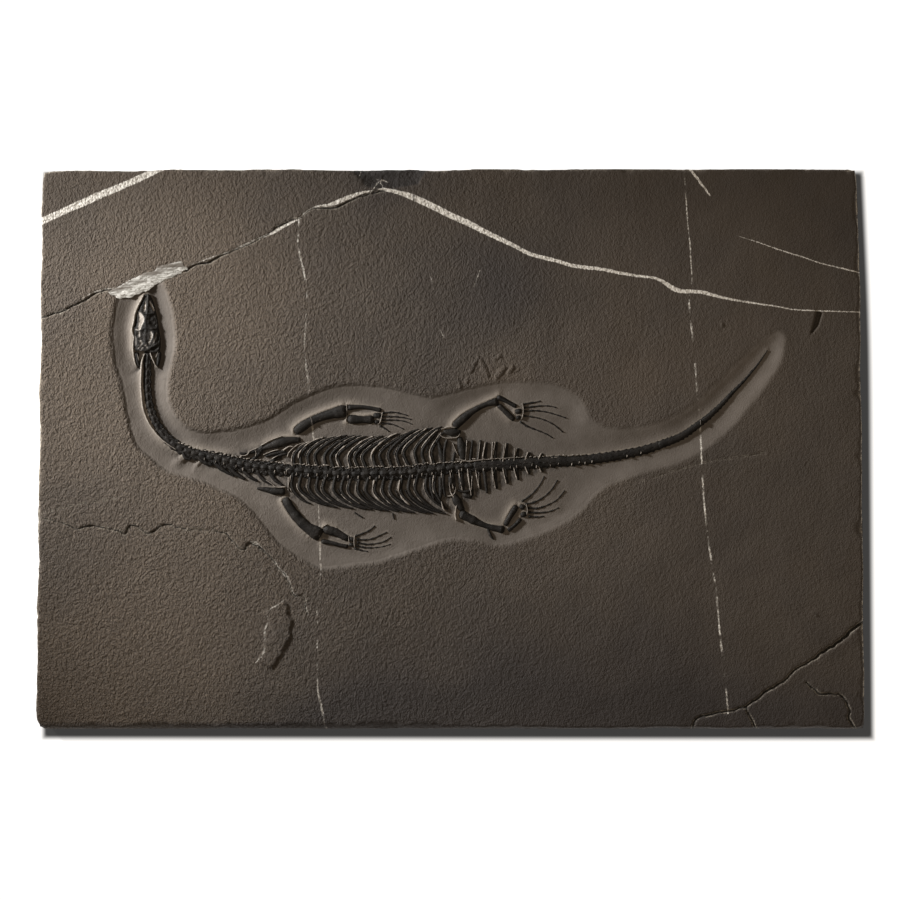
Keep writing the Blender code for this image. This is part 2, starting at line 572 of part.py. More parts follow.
def make_skull(sections, parts, cutters, material):
    skull = as_mesh(swept("skull", SKULL_ROUTE, sections["skull"], BONE_BASE, parts, material))
    for name, outline in SKULL_OPENINGS.items():
        opening = flat_outline(name, outline, BONE_BASE, OPENING_TALL, cutters)
        boolean(skull, as_mesh(opening), "DIFFERENCE")
    for name, route in JAWS.items():
        swept(name, rounded(route), sections["long"], BONE_BASE, parts, material)


def fused_chain(name, spine, branches, cutters, material):
    """A row of bones with the ribs or processes that grow from it, joined in one solid."""
    chain = as_mesh(spine)
    twigs = bpy.data.collections.new(name + "_branches")
    twigs.hide_render = True
    cutters.children.link(twigs)
    for number, (route, section, lift) in enumerate(branches):
        branch = swept(f"{name}_branch_{number}", route, section, BONE_BASE + lift, twigs, material)
        hide(as_mesh(branch))
    modifier = chain.modifiers.new("join", "BOOLEAN")
    modifier.operand_type = "COLLECTION"
    modifier.collection = twigs
    modifier.operation = "UNION"
    modifier.solver = "EXACT"


def processes(stations, spine_route, section):
    """Short side processes of the hip and tail, one each side of the backbone."""
    branches = []
    for x, top, bottom in stations:
        middle = route_at(spine_route, x)
        for end, lean in ((top, 0.5), (bottom, 0.6)):
            route = [(x - lean, middle, PROCESS_HALF), (x, (middle + end) / 2, PROCESS_HALF),
                     (x + lean, end, PROCESS_HALF * 0.6)]
            branches.append((route, section, PROCESS_LIFT))
    return branches


def make_backbone(sections, parts, cutters, material):
    neck = swept("neck", beaded(NECK_ROUTE, NECK_BONES, 0.78), sections["spine"], BONE_BASE,
                 parts, material)
    neck_ribs = [(route, sections["small"], PROCESS_LIFT) for route in NECK_RIBS]
    fused_chain("neck", neck, neck_ribs, cutters, material)

    trunk = swept("backbone_and_ribs", beaded(TRUNK_ROUTE, TRUNK_BONES, 0.82),
                  sections["spine"], BONE_BASE, parts, material)
    branches = processes(TRUNK_PROCESSES, TRUNK_ROUTE, sections["small"])
    for number in range(RIB_PAIRS):
        for stations, side in ((UPPER_RIBS, 1), (LOWER_RIBS, -1)):
            line = beaded(rib_route(stations, number, side), RIB_BENDS)
            branches.append((line, sections["rib"], RIB_LIFT))
    fused_chain("backbone_and_ribs", trunk, branches, cutters, material)

    tail = swept("tail", beaded(TAIL_ROUTE, TAIL_BONES, 0.78), sections["small_spine"],
                 BONE_BASE, parts, material)
    tail_branches = processes(TAIL_PROCESSES, TAIL_ROUTE, sections["small"])
    fused_chain("tail", tail, tail_branches, cutters, material)


def make_limbs(sections, parts, material):
    for name, route in GIRDLES.items():
        swept(name, rounded(route), sections["long"], BONE_BASE, parts, material)
    for limbs in (FORE_LIMBS, HIND_LIMBS):
        for side, bones in limbs.items():
            for bone, route in bones.items():
                digit = bone[:-2] in ("finger", "toe")
                if digit:
                    line = beaded(route, len(route), 0.7)
                else:
                    line = rounded(route)
                section = sections["small" if digit else "long"]
                swept(f"{side}_{bone}", line, section, BONE_BASE, parts, material)


def main():
    parts, cutters = start_scene()
    stone = make_material("black_limestone", (0.088, 0.072, 0.062), 0.85)
    bone = make_material("fossil_bone", (0.02, 0.018, 0.017), 0.5)
    calcite = make_material("white_calcite", (0.78, 0.75, 0.7), 0.55)
    sections = {name: section_object(name + "_section", shape, cutters)
                for name, shape in SECTIONS.items()}
    slab = slab_body(parts, stone)
    carve_slab(slab, cutters)
    seam_middle = SLAB_THICK + SEAM_PROUD - SEAM_THICK / 2
    seam = flat_outline("calcite_seam", SEAM_OUTLINE, seam_middle, SEAM_THICK, parts)
    seam.data.materials.append(calcite)
    make_skull(sections, parts, cutters, bone)
    make_backbone(sections, parts, cutters, bone)
    make_limbs(sections, parts, bone)


main()
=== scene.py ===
# %% [markdown]
# # A keichousaurus skeleton in its slab
#
# This fossil is a small marine reptile, pressed flat in a slab of dark limestone. Somebody has
# cut a shallow trough round it with a needle, until the bones stood free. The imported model
# holds the plain solids. This script dresses them: every bone and the rock itself are built
# again with real relief, in the same frame, and take the place of the plain solid.

# %% Load the frame
import math

import bmesh
import bpy
import numpy as np
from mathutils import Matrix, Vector


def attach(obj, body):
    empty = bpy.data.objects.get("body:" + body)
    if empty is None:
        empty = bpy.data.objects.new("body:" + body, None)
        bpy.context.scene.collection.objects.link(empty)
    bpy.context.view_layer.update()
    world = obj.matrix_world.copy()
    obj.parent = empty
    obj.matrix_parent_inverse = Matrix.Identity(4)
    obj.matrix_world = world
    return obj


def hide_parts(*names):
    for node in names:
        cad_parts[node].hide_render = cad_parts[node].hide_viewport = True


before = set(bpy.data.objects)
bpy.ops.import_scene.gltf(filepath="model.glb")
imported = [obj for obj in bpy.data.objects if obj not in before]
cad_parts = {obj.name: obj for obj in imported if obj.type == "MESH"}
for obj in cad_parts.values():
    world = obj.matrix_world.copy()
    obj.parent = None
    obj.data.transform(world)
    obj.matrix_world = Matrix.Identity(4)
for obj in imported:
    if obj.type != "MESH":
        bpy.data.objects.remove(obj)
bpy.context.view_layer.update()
MM = 0.001
FACE = 18.0  # height of the slab's face in millimetres; every plan below is in millimetres too
TOP = 18.73  # nothing stands higher than the plain solids do
print("bones and stones in the frame:", len(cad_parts))

# %% [markdown]
# ## The camera, the lights and the floor
#
# The photograph looks straight down on the slab through a long lens, so the edges show no
# slant. One soft lamp stands low on the upper left, near the neck: it rakes over the face, so
# that each grain has a lit and a dark side, and it fades towards the tail. A weak even light
# fills the shadows. The floor is white and shines a little, as a light table does, and has a
# narrow soft shadow on the side away from the lamp.

# %% Camera
VIEW_WIDTH = 0.342
VIEW_MIDDLE_Y = -0.00038
LENS = 200.0

camera_data = bpy.data.cameras.new("camera")
camera_data.lens = LENS
camera_data.sensor_width = 36.0
camera = bpy.data.objects.new("camera", camera_data)
bpy.context.scene.collection.objects.link(camera)
distance = VIEW_WIDTH * LENS / camera_data.sensor_width
camera.location = (0, VIEW_MIDDLE_Y, FACE * MM + distance)
camera_data.clip_end = 100
bpy.context.scene.camera = camera
bpy.context.scene.view_settings.view_transform = "Standard"
print(f"camera {distance:.2f} m above the face")

# %% Lamps
KEY_PLACE = Vector((-0.40, 0.165, 0.155))
KEY_AIM = Vector((0.125, -0.095, 0.018))
KEY_POWER = 15.5
FILL_STRENGTH = 0.27
FILL_COLOUR = (1.0, 0.83, 0.64, 1)

key_data = bpy.data.lights.new("raking_lamp", "SPOT")
key_data.energy = KEY_POWER
key_data.color = (1.0, 0.99, 0.97)
key_data.shadow_soft_size = 0.022
key_data.spot_size = math.radians(54)
key_data.spot_blend = 1.0
key = bpy.data.objects.new("raking_lamp", key_data)
key.location = KEY_PLACE
key.rotation_mode = "QUATERNION"
key.rotation_quaternion = (KEY_AIM - KEY_PLACE).to_track_quat("-Z", "Y")
bpy.context.scene.collection.objects.link(key)

world = bpy.data.worlds.new("even_fill")
world.use_nodes = True
background = world.node_tree.nodes["Background"]
background.inputs["Color"].default_value = FILL_COLOUR
background.inputs["Strength"].default_value = FILL_STRENGTH
bpy.context.scene.world = world
print(f"lamp {(KEY_AIM - KEY_PLACE).length:.2f} m from the place it points at")

# %% [markdown]
# ## A short way to write node materials
#
# A material is a graph of nodes. Writing `nodes.new` and `links.new` for each one is long, so
# `Graph` keeps it short: `graph.add(kind, inputs, settings)` makes a node, links every input
# that is itself a socket, and returns one of the node's outputs. The other calls stand on it.

# %% Node helper
class Graph:
    """A material's node tree, with a short call for each thing that the finishes here need."""

    def __init__(self, name):
        self.material = bpy.data.materials.new(name)
        self.material.use_nodes = True
        self.tree = self.material.node_tree
        self.shader = self.tree.nodes["Principled BSDF"]

    def put(self, socket, value):
        """Link a socket to another one, or give it a plain value."""
        if isinstance(value, bpy.types.NodeSocket):
            self.tree.links.new(value, socket)
        else:
            socket.default_value = value

    def add(self, kind, inputs=(), output=0, **settings):
        node = self.tree.nodes.new(kind)
        for setting, value in settings.items():
            setattr(node, setting, value)
        items = inputs.items() if isinstance(inputs, dict) else enumerate(inputs)
        for place, value in items:
            if value is not None:
                self.put(node.inputs[place], value)
        return node.outputs[output]

    def maths(self, operation, a, b=None, c=None):
        return self.add("ShaderNodeMath", [a, b, c], operation=operation)

    def times(self, a, b):
        return self.maths("MULTIPLY", a, b)

    def ramp(self, value, low, high, out_low=0.0, out_high=1.0, smooth=True):
        """Value low gives out_low, high gives out_high, and between them it turns smoothly."""
        kind = "SMOOTHSTEP" if smooth else "LINEAR"
        return self.add("ShaderNodeMapRange", [value, low, high, out_low, out_high],
                        interpolation_type=kind)

    def blend(self, share, first, second, mode="MIX"):
        return self.add("ShaderNodeMix", {0: share, 6: first, 7: second}, 2,
                        data_type="RGBA", blend_type=mode)

    def dim(self, colour, factor):
        """A colour times a number."""
        grey = self.add("ShaderNodeCombineXYZ", [factor] * 3)
        return self.blend(1.0, colour, grey, "MULTIPLY")

    def millimetres(self, turn=0.0, stretch=(1, 1, 1)):
        """The object's own coordinates in millimetres, turned and stretched for a grain."""
        place = self.add("ShaderNodeTexCoord", output=3)
        scaled = [value / MM for value in stretch]
        return self.add("ShaderNodeMapping", {0: place, 2: (0, 0, turn), 3: scaled})

    def noise(self, place, size, detail=2.0, rough=0.5):
        """Cloudy noise whose lumps are about size millimetres across, from 0 to 1."""
        return self.add("ShaderNodeTexNoise", {"Vector": place, "Scale": 1 / size,
                        "Detail": detail, "Roughness": rough})

    def reading(self, name):
        """A number that each vertex of the mesh keeps under this name."""
        return self.add("ShaderNodeAttribute", output=2, attribute_name=name)

    def finish(self, colour, roughness, specular=None, height=None, relief=(1.0, 0.0)):
        """Give the shader its colour, gloss and fine relief, a strength and millimetres."""
        inputs = self.shader.inputs
        self.put(inputs["Base Color"], colour)
        self.put(inputs["Roughness"], roughness)
        if specular is not None:
            self.put(inputs["Specular IOR Level"], specular)
        if height is not None:
            strength, deep = relief
            bump = self.add("ShaderNodeBump", {"Strength": strength, "Distance": deep * MM,
                            "Height": height})
            self.put(inputs["Normal"], bump)
        return self.material


def rgb(red, green, blue):
    return (red, green, blue, 1.0)

# %% Floor
FLOOR_HALF = 6.0
FLOOR_BELOW = 0.0003
SHADOW_CORNER = 1.5  # how softly two edges of the shadow run into each other
SHADOW_FADE = (-1.3, 1.5)
# The shadow's edges, each through two points, with the dark side on the left of the way.
SHADOW_EDGES = [
    ((160.8, -110.0), (159.6, 45.0)), ((159.6, 45.0), (156.9, 103.0)),
    ((160.0, 105.3), (-160.0, 105.3)), ((-154.6, 110.0), (-154.6, -110.0)),
    ((-150.0, -109.9), (160.0, -110.2)),
]

# The shadow beside the slab is painted on the floor: inside its edges the floor's colour and glow
# turn dark.
table = Graph("light_table")
table_place = table.millimetres()
beyond = -100.0
spread = 1 + FACE * MM / distance  # the floor lies below the face, so it looks smaller
for (x0, y0), (x1, y1) in (np.array(SHADOW_EDGES) * spread).tolist():
    length = math.hypot(x1 - x0, y1 - y0)
    outward = ((y1 - y0) / length, (x0 - x1) / length, 0)
    past = table.add("ShaderNodeVectorMath", [table_place, outward], 1, operation="DOT_PRODUCT")
    past = table.maths("SUBTRACT", past, x0 * outward[0] + y0 * outward[1])
    beyond = table.maths("SMOOTH_MAX", past, beyond, SHADOW_CORNER)
clear = table.ramp(beyond, *SHADOW_FADE)
table.finish(table.blend(clear, rgb(0.03, 0.03, 0.03), rgb(0.8, 0.8, 0.8)), 0.9)
table.put(table.shader.inputs["Emission Color"],
          table.blend(clear, rgb(0.045, 0.045, 0.045), rgb(1, 1, 1)))
table.shader.inputs["Emission Strength"].default_value = 0.92

floor_mesh = bpy.data.meshes.new("floor")
floor_corners = [(-1, -1), (1, -1), (1, 1), (-1, 1)]
floor_mesh.from_pydata([(x * FLOOR_HALF, y * FLOOR_HALF, -FLOOR_BELOW) for x, y in floor_corners],
                       [], [(0, 1, 2, 3)])
floor_mesh.materials.append(table.material)
floor = bpy.data.objects.new("floor", floor_mesh)
bpy.context.scene.collection.objects.link(floor)
print("shadow edges on the floor:", len(SHADOW_EDGES))

# %% [markdown]
# ## Drawn lines and random relief
#
# Every shape on the slab follows a line that was drawn over the real thing: the edge of the
# trough, a crack, the middle of a bone. A few helpers are enough. `smooth_line` puts a soft
# curve through a few points. `nearest_on_line` says how far each place on the slab is from a
# line. `clouds` gives smooth random lumps, the same ones on each run.

# %% Helpers for lines
LIGHT_WAY = (0.88, -0.47)  # the way that the lamp's light runs over the face, as seen from above


def run_along(line):
    """How far along a line each of its points lies."""
    return np.concatenate([[0], np.cumsum(np.hypot(*np.diff(line[:, :2], axis=0).T))])


def headings(line):
    """The way that a line runs at each of its points, as a step of length 1."""
    ahead = np.gradient(line[:, :2], axis=0)
    return ahead / np.maximum(np.linalg.norm(ahead, axis=1, keepdims=True), 1e-9)


def smooth_line(points, spacing):
    """A Catmull-Rom curve through the points, read again at even steps."""
    points = np.asarray(points, float)
    ends = np.vstack([2 * points[0] - points[1], points, 2 * points[-1] - points[-2]])
    t = np.linspace(0, 1, 9)[:-1, None]
    pieces = []
    for a, b, c, d in zip(ends, ends[1:], ends[2:], ends[3:]):
        pieces.append(0.5 * (2 * b + (c - a) * t + (2 * a - 5 * b + 4 * c - d) * t ** 2
                             + (3 * b - a - 3 * c + d) * t ** 3))
    fine = np.vstack([*pieces, points[-1:]])
    run = run_along(fine)
    steps = max(2, int(round(run[-1] / spacing)) + 1)
    at = np.linspace(0, run[-1], steps)
    return np.stack([np.interp(at, run, column) for column in fine.T], axis=1)


def nearest_on_line(x, y, line, reach, open_ended=False):
    """Gap to a line, its side (+1 on the left), how far along, its width, and way to it.

    The way is 1 where the line lies straight ahead of the lamp's light and -1 behind it.
    """
    line = np.asarray(line, float)
    best = np.full(x.shape, float(reach))
    side, along, width = np.ones(x.shape), np.zeros(x.shape), np.zeros(x.shape)
    way = np.zeros(x.shape)
    run, last = 0.0, len(line) - 2
    for number, (a, b) in enumerate(zip(line, line[1:])):
        dx, dy = b[0] - a[0], b[1] - a[1]
        length = math.hypot(dx, dy)
        if length == 0:
            continue
        near = np.flatnonzero((x > min(a[0], b[0]) - reach) & (x < max(a[0], b[0]) + reach)
                              & (y > min(a[1], b[1]) - reach) & (y < max(a[1], b[1]) + reach))
        px, py = x[near] - a[0], y[near] - a[1]
        t = (px * dx + py * dy) / length ** 2
        low = -9e9 if open_ended and number == 0 else 0.0
        high = 9e9 if open_ended and number == last else 1.0
        kept = np.clip(t, low, high)
        gap = np.hypot(px - kept * dx, py - kept * dy)
        ahead = ((kept * dx - px) * LIGHT_WAY[0] + (kept * dy - py) * LIGHT_WAY[1])
        ahead = ahead / np.maximum(gap, 1e-6)
        half = a[2] + (b[2] - a[2]) * np.clip(t, 0, 1) if len(a) > 2 else np.zeros(len(near))
        if not open_ended:
            gap = gap - half
        closer = gap < best[near]
        chosen = near[closer]
        best[chosen] = gap[closer]
        side[chosen] = np.where(dx * py - dy * px < 0, -1.0, 1.0)[closer]
        along[chosen] = run + t[closer] * length
        width[chosen] = half[closer]
        way[chosen] = ahead[closer]
        run += length
    return best, side, along, width, way


def inside_outline(x, y, outline):
    """Distance to a closed outline, positive inside it and negative outside."""
    ring = np.vstack([outline, outline[:1]])
    inside = np.zeros(x.shape, bool)
    for (x0, y0), (x1, y1) in zip(ring, ring[1:]):
        if y0 == y1:
            continue
        crosses = (y0 > y) != (y1 > y)
        inside ^= crosses & (x < (x1 - x0) * (y - y0) / (y1 - y0) + x0)
    gap = nearest_on_line(x, y, ring, 400.0)[0]
    return np.where(inside, gap, -gap)


def clouds(x, y, size, seed, layers=1):
    """Smooth random relief from -1 to 1, with lumps about size millimetres across."""
    total = np.zeros(np.shape(x))
    for layer in range(layers):
        table = np.random.default_rng(seed + layer).uniform(-1, 1, (128, 128))
        u, v = np.asarray(x) / size * 2 ** layer, np.asarray(y) / size * 2 ** layer
        i, j = np.floor(u).astype(int), np.floor(v).astype(int)
        fu, fv = u - i, v - j
        fu, fv = fu * fu * (3 - 2 * fu), fv * fv * (3 - 2 * fv)
        corner = [table[(i + a) % 128, (j + b) % 128] for a in (0, 1) for b in (0, 1)]
        low = corner[0] * (1 - fv) + corner[1] * fv
        high = corner[2] * (1 - fv) + corner[3] * fv
        total += (low * (1 - fu) + high * fu) * 0.5 ** layer
    return total


def soft_step(value, low, high):
    t = np.clip((value - low) / (high - low), 0, 1)
    return t * t * (3 - 2 * t)

# %% [markdown]
# ## The plans of the slab
#
# The outline of the block, the trough that the preparator cut, and the lines of damage, each as
# the few points that draw it.

# %% Edges of the slab
LEFT_EDGE = [
    (-157.4, -106.6), (-157.2, -92.0), (-156.7, -77.0), (-157.0, -60.0), (-156.3, -41.0),
    (-156.5, -19.0), (-155.8, 4.0), (-156.0, 22.0), (-155.3, 43.0), (-155.6, 60.0),
    (-154.9, 77.0), (-155.2, 92.0), (-154.6, 105.4),
]
RIGHT_EDGE = [
    (157.3, -106.5), (157.1, -88.0), (156.5, -66.0), (156.6, -45.0), (156.0, -20.0),
    (156.2, 4.0), (155.5, 30.0), (155.6, 57.0), (154.7, 84.0), (153.8, 106.3),
]
BOTTOM_EDGE = [
    (-157.4, -106.3), (-136.0, -106.2), (-112.0, -106.4), (-84.0, -106.1), (-56.0, -106.4),
    (-28.0, -106.0), (2.0, -106.4), (30.0, -106.1), (58.0, -106.4), (84.0, -106.0),
    (108.0, -106.4), (134.0, -106.1), (157.3, -106.4),
]
TOP_EDGE = [
    (-154.6, 105.4), (-137.0, 105.8), (-121.0, 105.4), (-106.0, 106.2), (-84.0, 106.0),
    (-62.0, 106.3), (-41.0, 105.9), (-33.0, 105.6), (-24.0, 106.2), (-6.0, 105.7),
    (12.0, 106.3), (38.0, 106.0), (62.0, 106.4), (90.0, 106.2), (118.0, 106.3), (153.8, 106.2),
]
print("points along the slab's edges:",
      len(LEFT_EDGE) + len(RIGHT_EDGE) + len(BOTTOM_EDGE) + len(TOP_EDGE))

# %% Rim of the trough
TROUGH = [
    (-126.2, 57.8), (-128.1, 49.0), (-128.4, 41.4), (-127.7, 33.8), (-125.4, 26.2),
    (-123.9, 18.6), (-122.4, 11.0), (-120.8, 5.3), (-118.9, 0.8), (-114.0, -3.4),
    (-108.3, -8.0), (-98.8, -11.0), (-91.2, -13.7), (-81.7, -18.2), (-76.0, -23.2),
    (-71.4, -28.9), (-64.6, -36.5), (-57.0, -41.4), (-49.4, -45.2), (-39.9, -44.5),
    (-28.5, -42.9), (-20.9, -40.7), (-11.4, -37.6), (-1.9, -34.6), (7.6, -34.6), (19.0, -36.5),
    (26.6, -34.6), (36.1, -31.5), (47.5, -25.1), (57.0, -15.6), (64.6, -11.8), (76.0, -8.0),
    (87.4, -4.6), (96.9, 0.4), (104.5, 6.5), (112.1, 14.8), (119.7, 24.3), (125.4, 33.8),
    (126.9, 41.4), (124.6, 44.5), (119.7, 42.2), (114.0, 37.6), (108.3, 31.9), (100.7, 24.3),
    (93.1, 17.5), (83.6, 11.8), (72.2, 8.4), (60.8, 8.0), (53.2, 11.0), (49.4, 18.6),
    (41.8, 23.6), (34.2, 25.1), (22.8, 25.4), (11.4, 24.2), (1.9, 21.7), (-7.6, 19.8),
    (-19.0, 22.4), (-30.4, 24.3), (-41.8, 24.3), (-53.2, 20.5), (-60.8, 16.7), (-70.3, 11.0),
    (-79.8, 8.0), (-89.3, 6.8), (-96.9, 7.2), (-102.6, 10.3), (-106.4, 16.7), (-107.2, 24.3),
    (-106.0, 31.9), (-104.5, 39.5), (-104.9, 47.1), (-106.4, 54.7), (-108.3, 60.4),
    (-110.2, 63.6), (-116.0, 62.0),
]

# %% Stain
# Dark rock between and round the ribs.
STAIN = [
    (-92, -4), (-80, -1), (-72, 1.2), (-64, 4.4), (-56, 2.4), (-48, 4.6), (-40, 5.0),
    (-30, 4.8), (-20, 5.2), (-8, 8.8), (-2, 6.0), (3, 6.5), (8, 3.4), (16, 2.6), (26, 0),
    (36, -2.6), (46, -2.6), (46, -6.6), (34, -8.6), (24, -12), (15, -16), (8, -19),
    (2, -23), (-8, -24.6), (-22, -24), (-36, -22.8), (-48, -21.6), (-56, -19.6),
    (-62, -18.4), (-70, -16.6), (-76, -12), (-86, -8.6), (-94, -6.2),
]
print("points on the trough's rim:", len(TROUGH), "and round the stain:", len(STAIN))

# %% Flake, chip, scraps and slot
FLAKE = [
    (-69.9, -61.6), (-65.4, -58.9), (-63.1, -57.4), (-60.4, -65.0), (-60.8, -71.4),
    (-63.5, -76.4), (-65.7, -80.2), (-67.6, -83.2), (-71.4, -82.1), (-73.0, -80.6),
    (-70.3, -77.1), (-70.3, -72.6), (-68.8, -65.0),
]
CHIP = [(-38.0, 112), (-37.0, 103.6), (-30.5, 99.6), (-22.0, 98.6), (-12.5, 101.2), (-3.0, 112)]
SCRAPS = [  # raised scraps of rock above the hips, (x, y, half width)
    [(2.8, 26.4, 0.5), (3.5, 24.4, 0.8), (3.9, 22.8, 0.4)],
    [(10.8, 35.2, 0.15), (8.9, 31.5, 0.25), (7.4, 28.6, 0.25), (6.1, 25.1, 0.2)],
    [(11.6, 33.6, 0.5), (12.6, 31.0, 0.9), (13.9, 28.0, 0.7)],
    [(17.6, 27.0, 0.6), (18.6, 29.0, 1.1), (20.4, 30.8, 0.7)],
    [(22.4, 29.4, 0.8), (23.6, 31.2, 0.9)], [(16.8, 34.0, 0.4), (18.8, 35.2, 0.7)],
    [(100.8, 47.4, 0.2), (101.6, 45.6, 0.3)], [(103.4, 47.6, 0.35), (103.9, 45.9, 0.2)],
    [(137.6, -62.0, 0.25), (139.2, -63.2, 0.3)],
]
SLOT = [(139.5, 52.4), (141.4, 51.7), (139.8, 46.7), (137.2, 43.7), (138.6, 48.3)]
print("scraps of rock:", len(SCRAPS))

# %% Outline of the calcite seam
SEAM_TOP = [
    (-129.8, 59.7), (-128.4, 60.4), (-123.5, 63.1), (-117.8, 66.1), (-112.1, 68.0),
    (-111.0, 69.3), (-106.4, 70.3), (-102.2, 71.3), (-100.7, 69.5), (-99.5, 68.4),
]
SEAM_BOTTOM = [
    (-129.7, 59.4), (-126.2, 57.6), (-121.6, 57.6), (-117.8, 59.0), (-114.0, 60.8),
    (-110.2, 63.3), (-104.5, 65.7), (-99.6, 68.2),
]
SEAM = np.array(SEAM_TOP + SEAM_BOTTOM[::-1])
print(f"seam: {np.ptp(SEAM[:, 0]):.1f} mm across")

# %% Lines of the cracks
# A crack is (x, y, half width, step): with a positive step the rock on its left is higher.
CRACKS = {
    "head": [(-158, 48.9, 0.3, 0.1), (-148.2, 52.1, 0.3, 0.12), (-140.6, 55.9, 0.3, 0.15),
             (-133.0, 59.7, 0.3, 0.1), (-129, 60.5, 0.3, 0)],
    "top": [(-101, 67.6, 0.25, 0.1), (-95.4, 70.2, 0.3, 0.16), (-91.5, 71.0, 0.45, 0.2),
            (-86.6, 73.5, 0.3, 0.2), (-79.8, 76.4, 0.2, 0.15), (-70.3, 80.9, 0.2, 0.15),
            (-66.5, 83.8, 0.25, 0.2), (-60.8, 86.8, 0.2, 0.16), (-57.0, 87.6, 0.15, 0.1),
            (-52.8, 91.0, 0.15, 0.1), (-47.5, 91.2, 0.2, 0.1), (-42.2, 91.9, 0.35, 0.1),
            (-38.0, 94.2, 0.2, 0.1), (-32.3, 96.5, 0.2, 0.1), (-24.7, 98.4, 0.2, 0)],
    "low": [(-158, -25.8, 0.08, 0.1), (-148.2, -27.7, 0.1, 0.14), (-142.5, -30.0, 0.2, 0.28),
            (-136.8, -29.3, 0.22, 0.34), (-131.1, -30.0, 0.18, 0.28), (-125.4, -31.5, 0.2, 0.3),
            (-123.1, -31.9, 0.25, 0.45), (-121.9, -29.6, 0.2, 0.45), (-119.3, -29.3, 0.15, 0.35),
            (-114.4, -31.8, 0.2, 0.4), (-109.3, -28.9, 0.2, 0.36), (-106.4, -28.9, 0.15, 0.2),
            (-100.6, -30.4, 0.12, 0.16), (-87.4, -31.4, 0.12, 0.16), (-82.8, -34.6, 0.12, 0.3),
            (-78.7, -38.2, 0.15, 0.35), (-76.0, -35.6, 0.25, 0.45), (-72.2, -37.6, 0.3, 0.5),
            (-67.3, -42.2, 0.12, 0.5), (-65.5, -44.8, 0.15, 0.5), (-62.7, -47.8, 0.2, 0.6),
            (-60.5, -52.8, 0.12, 0.5), (-58.9, -56.0, 0.12, 0.45), (-55.9, -56.0, 0.12, 0.3),
            (-54.9, -59.8, 0.1, 0.4), (-54.4, -62.5, 0.1, 0)],
    "corner": [(159, -64.0, 0.5, 0.2), (152.0, -69.5, 0.6, 0.25), (147.4, -73.7, 0.5, 0.25),
               (139.8, -78.3, 0.5, 0.25), (137.6, -80.2, 0.3, 0.2), (131.1, -84.0, 0.3, 0.2),
               (127.3, -87.8, 0.35, 0.22), (121.6, -91.6, 0.4, 0.22), (115.9, -95.4, 0.35, 0.2),
               (112.1, -98.0, 0.25, 0.2), (105.6, -99.6, 0.25, 0.2), (95.8, -101.8, 0.3, 0.25),
               (92.7, -103.7, 0.3, 0.25), (92.3, -109, 0.3, 0.25)],
    "corner_side": [(135.3, -88.9, 0.15, 0.05), (138.7, -91.6, 0.25, 0.15),
                    (141.4, -93.1, 0.3, 0.2), (147.4, -93.1, 0.2, 0.15), (150.1, -95.4, 0.25, 0.2),
                    (152.0, -99.2, 0.3, 0.2), (151.6, -102.2, 0.3, 0.2), (154.5, -108, 0.3, 0.2)],
    "corner_end": [(112.1, -98.0, 0.2, -0.1), (117.0, -108, 0.25, -0.15)],
    "tail_line": [(72.2, -12.4, 0.05, 0), (94.8, -5.5, 0.08, 0.02), (109, -3.2, 0.1, 0.02),
                  (119.6, -1.5, 0.2, 0)],
    "hairline": [(-155, -24.4, 0.08, 0.02), (-142, -21, 0.08, 0.03), (-126, -18.6, 0.05, 0)],
}

# %% [markdown]
# ## The plans of the bones
#
# Each bone is a line down its middle: (x, y, half width). They are nearly the lines that the
# plain solids follow, so each detailed bone lies on the solid that it stands for. Only the
# skull and the tip of the tail are a little slimmer here, and the right jaw lies closer in.

